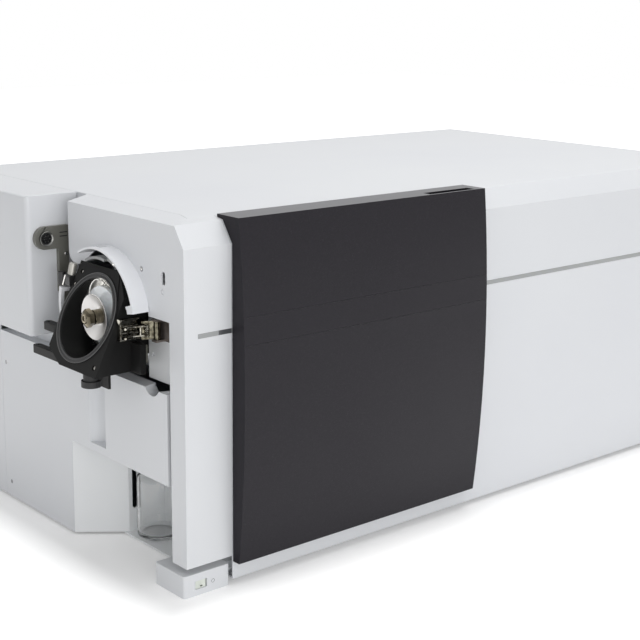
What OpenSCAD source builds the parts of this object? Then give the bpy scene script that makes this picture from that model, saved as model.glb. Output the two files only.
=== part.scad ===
// Bench-top triple quadrupole mass spectrometer with its spray chamber taken off.
// Lengths are millimetres. The model is laid out from the front left corner of the
// casing at bench level: X to the right, Y to the back, Z up. seat() then moves the
// whole instrument so that the middle of its footprint is the origin.

/* [Casing] */
// Width of the casing, from the source end to the far end
body_w = 1270; // [1230:10:1400]
// Depth of the casing, front to back
body_d = 715; // [700:5:760]
// Height of the top above the bench
body_h = 560; // [556:1:575]
// Thickness of the cover sheet
skin = 3; // [2:0.5:4]
// Gap between neighbouring covers
seam = 1; // [0.6:0.1:1.5]
// Fall from the top to the edge where the front slope begins
nose_fall = 39; // [34:1:46]
// Fall from the top to the end of the steep front slope
crown_fall = 7; // [5:1:12]
// Depth of the steep front slope
slope_d = 22; // [18:1:26]
// Depth at which the top becomes level
crown_d = 60; // [50:1:70]
// Underside of the front and right covers above the bench
under_gap = 8; // [5:1:12]

/* [Source corner] */
// Width of the corner pillar
pillar_w = 83; // [76:1:90]
// Depth of the corner pillar below the side plate
pillar_d = 37; // [32:1:40]
// Underside of the pillar above the bench
pillar_low = 46; // [42:1:52]
// Width of the sloping strip along the left top edge
strip_w = 36; // [30:1:42]
// Fall of that strip to the left
strip_fall = 8; // [4:1:10]
// Rear end of the upper side plate
plate_rear = 308; // [304:1:312]
// Height of the upper side plate's edge above the ion axis, front part
plate_lift = 15; // [13:1:20]

/* [Front panel] */
// Width of the dark panel
panel_w = 509; // [480:1:600]
// Underside of the dark panel above the bench
panel_low = 37; // [30:1:50]
// Depth of the panel's ends in front of the casing
panel_end = 15.5; // [13:0.5:18]
// Extra bulge at the middle of its height
panel_bulge = 15; // [10:1:20]
// Wall of the moulded panel
panel_wall = 3; // [2.5:0.5:4]
// Length of the finger slot in its top ledge
slot_l = 102; // [80:1:120]
// Width of the finger slot
slot_w = 17; // [14:1:18]

/* [Ion source] */
// Distance of the ion axis behind the front face
axis_y = 186; // [184:1:188]
// Fall from the top to the ion axis
axis_fall = 164; // [162:1:166]
// How far the mouth's centre stands out of the side plate
mouth_out = 45; // [42:1:47]
// Lean of the mouth, in degrees
mouth_tilt = 25.4; // [22:0.2:28]
// Radius of the mouth's opening
mouth_r = 60; // [57:1:61]
// Height of the shroud's centre above the ion axis
shroud_lift = 4; // [2:0.5:6]
// Outer radius of the white shroud
shroud_r = 100.5; // [99:0.5:102]
// Depth of the shroud in front of the side plate
shroud_out = 28; // [20:1:30]
// Radius of the spray shield
shield_r = 34.5; // [30:0.5:38]

/* [Service boxes] */
// How far the upper side box stands out to the left
box_out = 55; // [45:1:60]
// Front face of that box
box_front = 340; // [337:1:345]
// Recess between that box and the lower side cover
box_gap = 36; // [30:1:42]
// Fall from the ion axis to the top of the lower side cover
ledge_fall = 94; // [92:1:98]
// Depth of the ledge on top of that cover
ledge_d = 24; // [18:1:26]
// Front side of the bottle niche's slanted wall
niche_rear = 317; // [310:1:325]
// Width of the drip notch in the ledge
drip_w = 34; // [26:2:40]
// Height of the cover above the niche's mouth
niche_fall = 140; // [134:1:147]
// Radius of the drain bottle
bottle_r = 35; // [30:1:36]

/* [Analyser] */
// Length of the vacuum manifold
manifold_l = 1020; // [1010:5:1040]
// Radius of each quadrupole rod
rod_r = 8; // [6:0.5:9]
// Outer radius of a turbo pump
pump_r = 75; // [70:1:80]
// Radius of a turbo pump's rotor
rotor_r = 58; // [50:1:60]
// Clearance of a part that is seated in a hole
seat_fit = 0.15; // [0.1:0.05:0.3]
// Radial clearance of a turning shaft
shaft_fit = 0.05; // [0.03:0.01:0.08]

/* [Hidden] */
$fn = 72;

// Casing heights and places
nose_h = body_h - nose_fall;
crown_h = body_h - crown_fall;
axis_z = body_h - axis_fall;
plate_low = axis_z + plate_lift;
ledge_h = axis_z - ledge_fall;
box_low = ledge_h + box_gap;
niche_h = ledge_h - niche_fall;
stripe_low = body_h - 169;
stripe_h = 7;
stripe_top = stripe_low + stripe_h;
strip_low = body_h - strip_fall;
stripe_start = 23.6;
lens_l = 23;
panel_x0 = pillar_w + seam;
panel_x1 = panel_x0 + panel_w;
panel_gap = 0.4;
box_rear = body_d - 15;
side_rear = body_d - 170;
cover_lift = 4;
tray_z = 15;
tray_t = 3;
deck_z = tray_z + tray_t;
frame_side = 30;
frame_t = 3;
frame_top = body_h - skin;
port_out = 25;
side_rail = ledge_h - skin;
shroud_z = axis_z + shroud_lift;
plate_step = shroud_z + 58;
plate_corner = 18;
trim_t = 1.5;
bay_wall_x = ledge_d + 2;
bay_wall_y = axis_y - 57;
niche_back = 142;
niche_side = 262;
niche_front = 76;
post_x = niche_back + skin;

// Ion source places
flange_low = 78;
flange_high = 80;
flange_left = 68;
flange_right = 75;
flange_t = 12;
block_half = 72;
block_low = axis_z - 71;
block_high = axis_z + 70;
neck_half = 54;
neck_x = -6;
guard_t = 7;
manifold_x = 60;
shield_x = -33;
shield_deep = 11;
cavity_x = -8;
stub_r = 15;
stub_x = -45;
stub_y = axis_y - 8;

// Analyser places
manifold_half = 90;
manifold_wall = 14;
manifold_low = axis_z - manifold_half;
manifold_top = axis_z + manifold_half;
manifold_end = manifold_x + manifold_l;
stage_1 = 150;
stage_2 = manifold_l - 380;
bulkhead_t = 12;
lid_t = 12;
seal_t = 2;
rod_ring = 1.148 * rod_r + rod_r;
pump_x = [manifold_x + 270, manifold_end - 250];
pump_low = manifold_low - 166;
pump_flange_t = 12;
pump_shaft_r = 6;
pump_gap = 4;
pipe_r = 14;
pipe_bore = 11;
pipe_y = 300;
pipe_z = pump_low + 50;
pipe_exit_x = (pump_x[0] + pump_x[1]) / 2 - 5;
shelf_t = 3;
fan_side = 120;
fan_deep = 38;
fan_z = body_h - 130;
fan_x = [body_w - 260, body_w - 110];
fan_hub_r = 20;

// Overall box, used only to centre the footprint
x_left = -mouth_out - flange_low * sin(mouth_tilt);
x_right = body_w;
y_front = -panel_end - panel_bulge;
y_rear = body_d + port_out;

module seat() {
    translate([-(x_left + x_right) / 2, -(y_front + y_rear) / 2, 0]) children();
}

module slab(low, high) {
    translate(low) cube(high - low);
}

// Extrudes an outline drawn in (Y, Z) from x0 to x1
module along_x(x0, x1) {
    translate([x0, 0, 0]) rotate([90, 0, 90]) linear_extrude(height = x1 - x0) children();
}

// Extrudes an outline drawn in (X, Z) from y0 to y1
module along_y(y0, y1) {
    translate([0, y1, 0]) rotate([90, 0, 0]) linear_extrude(height = y1 - y0) children();
}

module rod_x(x0, x1, y, z, r) {
    translate([x0, y, z]) rotate([0, 90, 0]) cylinder(h = x1 - x0, r = r);
}

module rod_y(y0, y1, x, z, r) {
    translate([x, y1, z]) rotate([90, 0, 0]) cylinder(h = y1 - y0, r = r);
}

module post(x, y, z0, z1, r) {
    translate([x, y, z0]) cylinder(h = z1 - z0, r = r);
}

// A turned profile drawn in (radius, distance) about the ion axis, from x to the right
module turned_x(x) {
    translate([x, axis_y, axis_z]) rotate([0, 90, 0]) rotate_extrude() children();
}

module rounded_plan(low, high, r) {
    translate([low.x + r, low.y, low.z]) cube([high.x - low.x - 2 * r, high.y - low.y, high.z - low.z]);
    translate([low.x, low.y + r, low.z]) cube([high.x - low.x, high.y - low.y - 2 * r, high.z - low.z]);
    for (x = [low.x + r, high.x - r], y = [low.y + r, high.y - r]) post(x, y, low.z, high.z, r);
}

// Front, slope and top of the casing, down to height z0
module casing_outline(z0) {
    polygon([
        [0, z0], [0, nose_h], [slope_d, crown_h], [crown_d, body_h], [body_d, body_h], [body_d, z0]
    ]);
}

// Left edge of the top, with its gently falling strip
module strip_outline() {
    polygon([[0, 0], [0, strip_low], [strip_w, body_h], [body_w, body_h], [body_w, 0]]);
}

// Casing corner, moved inwards by inset
module corner_form(inset) {
    intersection() {
        along_x(inset, pillar_w + seam) translate([inset, -inset]) casing_outline(0);
        along_y(-1, body_d) translate([inset, -inset]) strip_outline();
    }
}

/* Covers */

module top_hood() {
    color("whitesmoke") seat() difference() {
        union() {
            along_x(strip_w + seam, body_w - skin - seam) difference() {
                casing_outline(stripe_top);
                translate([skin, -skin]) casing_outline(0);
            }
            slab([strip_w + seam, crown_d, nose_h - 20],
                 [strip_w + seam + skin, body_d - skin - seam, body_h - 1]);
        }
        slab([0, -1, 0], [pillar_w + seam, pillar_d + 5, body_h + 1]);
    }
}

module side_cutout() {
    square([axis_y, plate_low]);
    translate([axis_y, shroud_z]) circle(r = shroud_r - skin);
    translate([axis_y, 0]) square([plate_rear - plate_corner - axis_y, plate_step]);
    translate([plate_rear - plate_corner, 0]) square([plate_corner + 1, plate_step + plate_corner]);
}

module corner_cover() {
    color("whitesmoke") seat() {
        difference() {
            union() {
                intersection() {
                    difference() {
                        corner_form(0);
                        corner_form(skin);
                    }
                    union() {
                        slab([0, 0, pillar_low], [pillar_w, pillar_d + 5, body_h]);
                        slab([0, 0, pillar_low], [strip_w, plate_rear, body_h]);
                    }
                }
                rod_x(0, skin, plate_rear - plate_corner, plate_step + plate_corner, plate_corner);
            }
            along_x(-1, skin + 1) intersection() {
                translate([pillar_d + 5, 0]) square([plate_rear, body_h]);
                difference() {
                    side_cutout();
                    translate([plate_rear - plate_corner, plate_step + plate_corner])
                        circle(r = plate_corner);
                }
            }
            slab([-1, pillar_d, 0], [skin + 1, pillar_d + 6, plate_low]);
            slab([skin, skin, 0], [pillar_w + 1, pillar_d + 6, nose_h - 1]);
            slab([stripe_start, -1, stripe_low], [pillar_w + 1, trim_t, stripe_top]);
            rod_x(-1, skin + 1, 106, axis_z + 82, plate_hole_r);
            rod_x(-1, skin + 1, 52, axis_z + 57, plate_hole_r);
            along_x(-1, skin + 1) translate([50, axis_z + 72]) {
                for (z = [0, 10]) translate([0, z]) circle(r = plate_slot_r);
                translate([-plate_slot_r, 0]) square([2 * plate_slot_r, 10]);
            }
        }
    }
}
plate_hole_r = 3.8;
plate_slot_r = 4.6;

module front_lower_cover() {
    color("whitesmoke") seat() along_x(pillar_w + seam, body_w - skin - seam) {
        translate([0, under_gap]) square([skin, stripe_low - under_gap]);
        translate([0, under_gap]) square([frame_side, skin]);
    }
}

module trim_stripe() {
    color("darkgray") seat() {
        slab([stripe_start, 0, stripe_low], [pillar_w - lens_l, trim_t, stripe_top]);
        slab([pillar_w + seam, 0, stripe_low], [body_w - skin - seam, skin, stripe_top]);
    }
}

module status_lens() {
    color("dimgray") seat() slab([pillar_w - lens_l, 0, stripe_low], [pillar_w, trim_t, stripe_top]);
}

// Section of the dark panel in (Y, Z): a long arc in front, a ledge over the slope
panel_mid = (panel_low + body_h) / 2;
panel_arc = (pow((body_h - panel_low) / 2, 2) + pow(panel_bulge, 2)) / (2 * panel_bulge);
lip_end = 35;
lip_z = crown_h + (lip_end - slope_d) * (body_h - crown_h) / (crown_d - slope_d) + panel_gap;
slot_x = panel_x1 - 21 - slot_l;
slot_y = -11.5;
slot_floor = body_h - 26;

groove_heights = [stripe_low - 16, stripe_low + 26];

module panel_front(inset) {
    translate([y_front + panel_arc, panel_mid]) circle(r = panel_arc - inset, $fn = 720);
}

module panel_outline() {
    intersection() {
        panel_front(0);
        polygon([
            [y_front, panel_low], [y_front, body_h], [lip_end, body_h], [lip_end, lip_z],
            [slope_d - panel_gap / 2, crown_h + panel_gap], [-panel_gap, nose_h + panel_gap],
            [-panel_gap, panel_low]
        ]);
    }
}

module panel_cavity() {
    intersection() {
        panel_front(panel_wall);
        polygon([
            [y_front, panel_low + panel_wall], [y_front, slot_floor - panel_wall],
            [1, slot_floor - panel_wall], [0, nose_h - 1], [0, panel_low + panel_wall]
        ]);
    }
}

module front_panel() {
    color([0.22, 0.21, 0.23]) seat() difference() {
        union() {
            difference() {
                along_x(panel_x0, panel_x1) panel_outline();
                along_x(panel_x0 + panel_wall, panel_x1 - panel_wall) panel_cavity();
            }
            intersection() {
                along_x(panel_x0, panel_x1) panel_outline();
                for (x = [panel_x0 + 60, panel_x1 - 60], z = [panel_low + 60, nose_h - 60])
                    rod_y(y_front, -panel_gap, x, z, 9);
            }
        }
        slab([slot_x, slot_y, slot_floor], [slot_x + slot_l, slot_y + slot_w, body_h + 1]);
        for (z = groove_heights)
            intersection() {
                slab([panel_x0 + 6, y_front - 1, z], [panel_x1 - 1, 0, z + 1]);
                difference() {
                    slab([panel_x0, y_front - 1, z - 1], [panel_x1, 0, z + 2]);
                    along_x(panel_x0, panel_x1) panel_front(0.7);
                }
            }
    }
}

foot_x = [-5, 78];
foot_y = [1, 76];
foot_h = 35;
rocker_x = 26;
rocker_z = 16.5;
rocker_w = 20;
rocker_h = 12;
rocker_gap = 0.5;
rocker_pin_r = 2;
rocker_r = 13.1;
rocker_y = foot_y[0] + rocker_r - 2;

module foot_box() {
    color("whitesmoke") seat() difference() {
        union() {
            difference() {
                rounded_plan([foot_x[0], foot_y[0], 0], [foot_x[1], foot_y[1], foot_h], 4);
                slab([foot_x[0] + skin, foot_y[0] + skin, skin],
                     [foot_x[1] - skin, foot_y[1] - skin, foot_h - skin]);
            }
            slab([foot_x[1] - 1, 14, deck_z], [112, 34, deck_z + skin]);
            for (z = [rocker_z - rocker_h / 2 - 3.5, rocker_z + rocker_h / 2 + 0.5])
                slab([rocker_x - 6, foot_y[0] + 1, z], [rocker_x + 6, rocker_y + 6, z + 3]);
        }
        translate([rocker_x - rocker_w / 2 - rocker_gap, foot_y[0] - 1,
                   rocker_z - rocker_h / 2 - rocker_gap])
            cube([rocker_w + 2 * rocker_gap, skin + 2, rocker_h + 2 * rocker_gap]);
        post(rocker_x, rocker_y, rocker_z - rocker_h, rocker_z + rocker_h, rocker_pin_r + shaft_fit);
    }
}

module power_rocker() {
    color("honeydew") seat() translate([rocker_x, rocker_y, rocker_z]) {
        difference() {
            intersection() {
                translate([0, 0, -rocker_h / 2]) cylinder(h = rocker_h, r = rocker_r);
                translate([0, 0, -rocker_h / 2]) linear_extrude(height = rocker_h)
                    polygon([
                        [-5, 3], [5, 3], [rocker_w / 2, 3 - rocker_r], [-rocker_w / 2, 3 - rocker_r]
                    ]);
            }
        }
        translate([0, 0, -rocker_h / 2 - 3]) cylinder(h = rocker_h + 6, r = rocker_pin_r);
    }
}

module box_form(inset) {
    intersection() {
        rounded_plan([-box_out + inset, box_front + inset, 0],
                     [2 * strip_w, box_rear + 40, body_h + 50], 9 - inset);
        along_y(0, box_rear - inset) translate([-box_out + inset, box_low + inset]) {
            translate([0, 4]) square([box_out + strip_w, body_h - box_low - 8 - 2 * inset]);
            translate([4, 0]) square([box_out + strip_w - 4, body_h - box_low - 2 * inset]);
            for (z = [4, body_h - box_low - 4 - 2 * inset]) translate([4, z]) circle(r = 4);
        }
    }
}

module side_box_cover() {
    color("whitesmoke") seat() difference() {
        box_form(0);
        box_form(skin);
        slab([0, box_front + skin, 0], [strip_w + 1, box_rear - skin, body_h - skin]);
        slab([strip_w, 0, 0], [3 * strip_w, body_d, body_h + 1]);
    }
}

groove_y = 238;
groove_r = 25;
groove_out = 8;
groove_low = niche_h + 10;

module lower_side_cover() {
    color("whitesmoke") seat() {
        difference() {
            union() {
                slab([0, pillar_d + 8, cover_lift], [skin, side_rear, ledge_h]);
                slab([0, pillar_d + 8, ledge_h - skin], [ledge_d, side_rear, ledge_h]);
                slab([0, pillar_d + 8, niche_h], [10, pillar_d + 8 + skin, ledge_h]);
                slab([0, drip_y - drip_w / 2 - 6, ledge_h - 24],
                     [ledge_d, drip_y + drip_w / 2 + 6, ledge_h]);
                slab([ledge_d - skin, box_front + 10, ledge_h - 1], [ledge_d, side_rear, box_low - seam]);
                intersection() {
                    slab([0, groove_y - 40, groove_low], [40, groove_y + 40, ledge_h]);
                    post(-groove_out, groove_y, groove_low, ledge_h, groove_r + skin);
                }
            }
            slab([-1, 0, 0], [skin + 1, niche_rear, niche_h]);
            post(-groove_out, groove_y, groove_low + skin, ledge_h + 1, groove_r);
            translate([-1, drip_y, ledge_h + drip_rise]) rotate([0, 90, 0])
                cylinder(h = ledge_d + 2, r1 = drip_r, r2 = drip_r + 8);
            for (p = side_screws) screw_hole_x(p);
        }
    }
}
drip_y = 84;
drip_rise = 9;
drip_r = norm([drip_w / 2, drip_rise]);
side_screws = [[side_rear - 15, ledge_h - 55], [side_rear - 17, 31]];
screw_head_r = 3.6;
screw_shank_r = 2;
screw_sink = 1.2;

module screw_hole_x(p) {
    rod_x(-1, screw_sink, p[0], p[1], screw_head_r + seat_fit);
    rod_x(-1, skin + 1, p[0], p[1], screw_shank_r + seat_fit);
}

module rear_side_cover() {
    color("whitesmoke") seat()
        slab([0, side_rear + seam, cover_lift], [skin, body_d - skin, box_low - seam]);
}

wedge_x = 70;
liner_top = niche_h + 8;

module niche_liner() {
    color("whitesmoke") seat() difference() {
        union() {
            translate([0, 0, cover_lift]) linear_extrude(height = niche_h - cover_lift - seat_fit)
                polygon([[seat_fit, niche_rear], [skin + 1, niche_rear], [wedge_x + 1, niche_side + skin],
                         [wedge_x, niche_side]]);
            slab([wedge_x, niche_side, tray_t], [niche_back + skin, niche_side + skin, liner_top]);
            slab([niche_back, niche_front, tray_t], [niche_back + skin, niche_side + skin, liner_top]);
            slab([63, niche_front, tray_t - 1], [niche_back + skin, niche_side + skin, tray_t + 2]);
            slab([skin + 9, niche_front, liner_top - skin],
                 [niche_back + skin, niche_side + skin, liner_top]);
        }
        slab([77, niche_side - 1, 48], [87, niche_side + skin + 1, niche_h - 2]);
        rod_y(niche_side - 1, niche_side + skin + 1, 82, 48, 5);
    }
}

bottle_x = 102;
bottle_y = 224;
bottle_floor = tray_t + 2;
bottle_wall = 2;
bottle_h = niche_h - 30;
bottle_body = bottle_h - 38;
bottle_neck = 15;

module drain_bottle() {
    color([0.8, 0.85, 0.86, 0.5]) seat() translate([bottle_x, bottle_y, bottle_floor])
        rotate_extrude() difference() {
            union() {
                square([bottle_r - 5, bottle_body]);
                translate([0, 5]) square([bottle_r, bottle_body - 5]);
                translate([bottle_r - 5, 5]) circle(r = 5);
                translate([bottle_r - 14, bottle_body]) circle(r = 14);
                translate([0, bottle_body - 5]) square([bottle_r - 14, 19]);
                square([bottle_neck, bottle_h]);
            }
            translate([0, bottle_wall]) square([bottle_r - bottle_wall - 3, 3]);
            translate([0, 5]) square([bottle_r - bottle_wall, bottle_body - 5]);
            translate([bottle_r - 14, bottle_body]) circle(r = 14 - bottle_wall);
            translate([0, bottle_body - 5]) square([bottle_r - 14, 19 - bottle_wall]);
            translate([0, bottle_body]) square([bottle_neck - bottle_wall, bottle_h - bottle_body + 1]);
        }
}

louvre_y = body_d - 295;
louvre_l = 100;
louvre_step = 120;

module right_cover() {
    color("whitesmoke") seat() difference() {
        along_x(body_w - skin, body_w) casing_outline(under_gap);
        for (i = [0:7], j = [0:1])
            slab([body_w - skin - 1, louvre_y + j * louvre_step, 90 + i * 14],
                 [body_w + 1, louvre_y + louvre_l + j * louvre_step, 95 + i * 14]);
    }
}

module grille_slots(x) {
    along_y(body_d - skin - 1, body_d + 1) intersection() {
        translate([x, fan_z]) circle(r = fan_side / 2 - 6);
        for (i = [-5:5]) translate([x - fan_side / 2, fan_z + i * 10 - 3]) square([fan_side, 6]);
    }
}

inlet_x = body_w - 190;
inlet_z = 80;
gas_x = [300, 360];
gas_z = body_h - 110;

module rear_panel() {
    color("gainsboro") seat() difference() {
        slab([skin + seam, body_d - skin, under_gap], [body_w - skin - seam, body_d, body_h - skin]);
        slab([0, body_d - skin - 1, box_low - 1], [strip_w + seam, body_d + 1, body_h]);
        for (x = fan_x) grille_slots(x);
        rod_y(body_d - skin - 1, body_d + 1, pipe_exit_x, pipe_z, pipe_r + seat_fit);
        slab([inlet_x - 24, body_d - skin - 1, inlet_z - 16], [inlet_x + 24, body_d + 1, inlet_z + 16]);
        for (x = gas_x) rod_y(body_d - skin - 1, body_d + 1, x, gas_z, 5 + seat_fit);
        for (x = rear_screw_x, z = [under_gap + 25, body_h - 30]) screw_hole_y(x, z);
    }
}
rear_screw_x = [160, 480, 800, body_w - 150, body_w - 30];

module screw_hole_y(x, z) {
    rod_y(body_d - screw_sink, body_d + 1, x, z, screw_head_r + seat_fit);
    rod_y(body_d - skin - 1, body_d + 1, x, z, screw_shank_r + seat_fit);
}

module cover_screws() {
    color("dimgray") seat() {
        for (p = side_screws) {
            rod_x(0.1, screw_sink, p[0], p[1], screw_head_r);
            rod_x(screw_sink, skin, p[0], p[1], screw_shank_r);
        }
        for (x = rear_screw_x, z = [under_gap + 25, body_h - 30]) {
            rod_y(body_d - screw_sink, body_d - 0.1, x, z, screw_head_r);
            rod_y(body_d - skin, body_d - screw_sink, x, z, screw_shank_r);
        }
    }
}

/* Structure */

module base_tray() {
    color("silver") seat() translate([0, 0, tray_z]) linear_extrude(height = tray_t)
        polygon([
            [pillar_w + seam, skin], [body_w - skin, skin], [body_w - skin, body_d - skin],
            [skin, body_d - skin], [skin, niche_rear + 6], [post_x, niche_rear - 25],
            [post_x, niche_front - 4], [pillar_w + seam, niche_front - 4]
        ]);
}

foot_r = 18;

module rubber_feet() {
    color([0.1, 0.1, 0.1]) seat()
        for (p = [[190, 50], [body_w - 50, 50], [190, body_d - 50], [body_w - 50, body_d - 50],
                  [60, body_d - 80], [60, 380], [body_w / 2, 50], [body_w / 2, body_d - 50]])
            post(p[0], p[1], 0, tray_z, foot_r);
}

// Angle bar along one axis: two thin legs that meet at the outer corner
module angle_bar(low, high, up, side) {
    z_leg = up > 0 ? [low.z, low.z + frame_t] : [high.z - frame_t, high.z];
    slab([low.x, low.y, z_leg[0]], [high.x, high.y, z_leg[1]]);
    if (side == "y0") slab(low, [high.x, low.y + frame_t, high.z]);
    if (side == "y1") slab([low.x, high.y - frame_t, low.z], high);
    if (side == "x0") slab(low, [low.x + frame_t, high.y, high.z]);
    if (side == "x1") slab([high.x - frame_t, low.y, low.z], high);
}

module angle_post(x0, y0, sx, sy, z0, z1) {
    slab([min(x0, x0 + sx * frame_side), min(y0, y0 + sy * frame_t), z0],
         [max(x0, x0 + sx * frame_side), max(y0, y0 + sy * frame_t), z1]);
    slab([min(x0, x0 + sx * frame_t), min(y0, y0 + sy * frame_side), z0],
         [max(x0, x0 + sx * frame_t), max(y0, y0 + sy * frame_side), z1]);
}

module chassis_frame() {
    fx = [skin, body_w - skin];
    fy = [skin, body_d - skin];
    front_top = nose_h - 6;
    crown_in = crown_d + skin + 1;
    bracket_y = [body_d - 115, body_d - 85];
    color("slategray") seat() {
        angle_post(post_x, fy[0], 1, 1, deck_z, front_top);
        angle_post(fx[1], fy[0], -1, 1, deck_z, front_top);
        angle_post(fx[1], fy[1], -1, -1, deck_z, frame_top);
        angle_post(post_x, fy[1], 1, -1, deck_z, frame_top);
        angle_post(fx[0], box_front + 20, 1, 1, deck_z, side_rail);
        angle_bar([post_x, fy[0], deck_z], [fx[1], fy[0] + frame_side, deck_z + frame_side], 1, "y0");
        angle_bar([fx[0], fy[1] - frame_side, deck_z], [fx[1], fy[1], deck_z + frame_side], 1, "y1");
        angle_bar([fx[0], box_front + 20, deck_z],
                  [fx[0] + frame_side, fy[1], deck_z + frame_side], 1, "x0");
        angle_bar([fx[1] - frame_side, fy[0], deck_z], [fx[1], fy[1], deck_z + frame_side], 1, "x1");
        angle_bar([fx[0], fy[0], front_top - frame_side],
                  [fx[1], fy[0] + frame_side, front_top], -1, "y0");
        angle_bar([post_x, fy[1] - frame_side, frame_top - frame_side],
                  [fx[1], fy[1], frame_top], -1, "y1");
        angle_bar([fx[1] - frame_side, crown_in, frame_top - frame_side],
                  [fx[1], fy[1], frame_top], -1, "x1");
        angle_bar([post_x, crown_in, frame_top - frame_side],
                  [post_x + frame_side, fy[1], frame_top], -1, "x0");
        slab([post_x, crown_in, front_top - frame_t],
             [post_x + frame_side, crown_in + frame_t, frame_top]);
        slab([fx[1] - frame_side, crown_in, front_top - frame_t], [fx[1], crown_in + frame_t, frame_top]);
        slab([post_x, fy[0], front_top - frame_t], [post_x + frame_side, crown_in + frame_t, front_top]);
        slab([fx[1] - frame_side, fy[0], front_top - frame_t], [fx[1], crown_in + frame_t, front_top]);
        for (x = [post_x, manifold_end - 40])
            angle_bar([x, fy[0], manifold_low - frame_side],
                      [x + frame_side, fy[1], manifold_low], -1, "x0");
        slab([manifold_end - 40, fy[0], manifold_low - frame_side],
             [fx[1], fy[0] + frame_t, manifold_low]);
        slab([post_x, fy[1] - frame_t, manifold_low - frame_side], [fx[1], fy[1], manifold_low]);
        slab([fx[0], fy[1] - frame_t, side_rail - frame_side], [post_x + frame_side, fy[1], side_rail]);
        slab([fx[0], box_front + 20, side_rail - frame_side], [fx[0] + frame_t, fy[1], side_rail]);
        slab([-box_out + skin + 6, bracket_y[0], box_low + skin],
             [post_x + 1, bracket_y[1], box_low + skin + frame_t]);
        slab([fx[0], bracket_y[0], side_rail - frame_side],
             [fx[0] + frame_t, bracket_y[1], box_low + skin + frame_t]);
    }
}

/* Ion source */

// Cylinder wall about the ion axis, cut to a sector; angles run from the front face upwards
module shroud_sector(a0, a1, x0, x1, r_out, wall) {
    intersection() {
        difference() {
            rod_x(x0, x1, axis_y, shroud_z, r_out);
            rod_x(x0 - 1, x1 + 1, axis_y, shroud_z, r_out - wall);
        }
        translate([0, axis_y, shroud_z]) along_x(x0 - 2, x1 + 2)
            polygon([[0, 0], for (i = [0:6]) 2 * r_out * [-cos(a0 + (a1 - a0) * i / 6),
                                                          sin(a0 + (a1 - a0) * i / 6)]]);
    }
}

module source_shroud() {
    color("white") seat() difference() {
        union() {
            shroud_sector(15, 120, -shroud_out, 0, shroud_r, skin);
            shroud_sector(15, 18, -shroud_out, 0, shroud_r - 1, 16);
        }
        translate([0, axis_y, shroud_z]) along_x(-shroud_out + 7, -7)
            polygon([[0, 0], 200 * [-cos(88), sin(88)], 200 * [-cos(104), sin(104)]]);
    }
}

module hinge_guard() {
    color("white") seat() {
        difference() {
            shroud_sector(164, 194, -shroud_out - 6, -2, shroud_r - 1, guard_t);
            shroud_sector(168, 190, -shroud_out, -8, shroud_r - 5, guard_t);
        }
        intersection() {
            shroud_sector(168, 190, neck_x, neck_x + 3, shroud_r - guard_t, 40);
            slab([-20, axis_y + neck_half, 0], [0, body_d, body_h]);
        }
    }
}

arm_t = 8;
arm_y = box_front - arm_t;
arm_z = axis_z + 97;
arm_r = 18;
arm_x = -27;
connector_r = 10;

// Bracket with a round end that carries the signal connector, and its leg
module connector_arm() {
    color([0.15, 0.15, 0.15]) seat() difference() {
        union() {
            rod_y(arm_y, arm_y + arm_t, arm_x, arm_z, arm_r);
            slab([arm_x, arm_y, arm_z - arm_r], [14, arm_y + arm_t, arm_z + arm_r]);
            slab([-4, arm_y, arm_z - 88], [14, arm_y + arm_t, arm_z]);
        }
        rod_y(arm_y - 1, arm_y + arm_t + 1, arm_x, arm_z, connector_r + seat_fit);
    }
}

module signal_connector() {
    color("black") seat() {
        difference() {
            rod_y(arm_y - 4, arm_y + arm_t, arm_x, arm_z, connector_r);
            rod_y(arm_y - 5, arm_y + 2, arm_x, arm_z, connector_r - 2);
        }
        for (a = [0:60:300])
            rod_y(arm_y - 2, arm_y + 2, arm_x + 4.5 * cos(a), arm_z + 4.5 * sin(a), 0.8);
        rod_y(arm_y - 2, arm_y + 2, arm_x, arm_z, 0.8);
    }
}

// Places children in the mouth's own frame: X across, Y up the slope, Z out of the mouth
module at_mouth() {
    translate([-mouth_out, axis_y, axis_z + 1])
        rotate([0, mouth_tilt - 90, 0]) rotate([0, 0, -90]) children();
}

module flange_outline() {
    intersection() {
        translate([-flange_left, -flange_low])
            square([flange_left + flange_right, flange_low + flange_high]);
        polygon([
            [-flange_left, -60], [-27, -flange_low], [flange_right, -flange_low],
            [flange_right + 6, -10], [40, flange_high], [-flange_left, flange_high]
        ]);
    }
}

lugs = [[-56, axis_z - 30, 41], [-66, axis_z - 69, 59]];

// Hinge lug of the spray chamber, bored for an upright pin
module lug(x, z, reach) {
    end_y = axis_y + block_half + reach - 7;
    difference() {
        union() {
            slab([x, axis_y + 20, z - 6], [x + 14, end_y, z + 6]);
            post(x + 7, end_y, z - 6, z + 6, 7);
        }
        post(x + 7, end_y, z - 7, z + 7, 2.6);
    }
}

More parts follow.
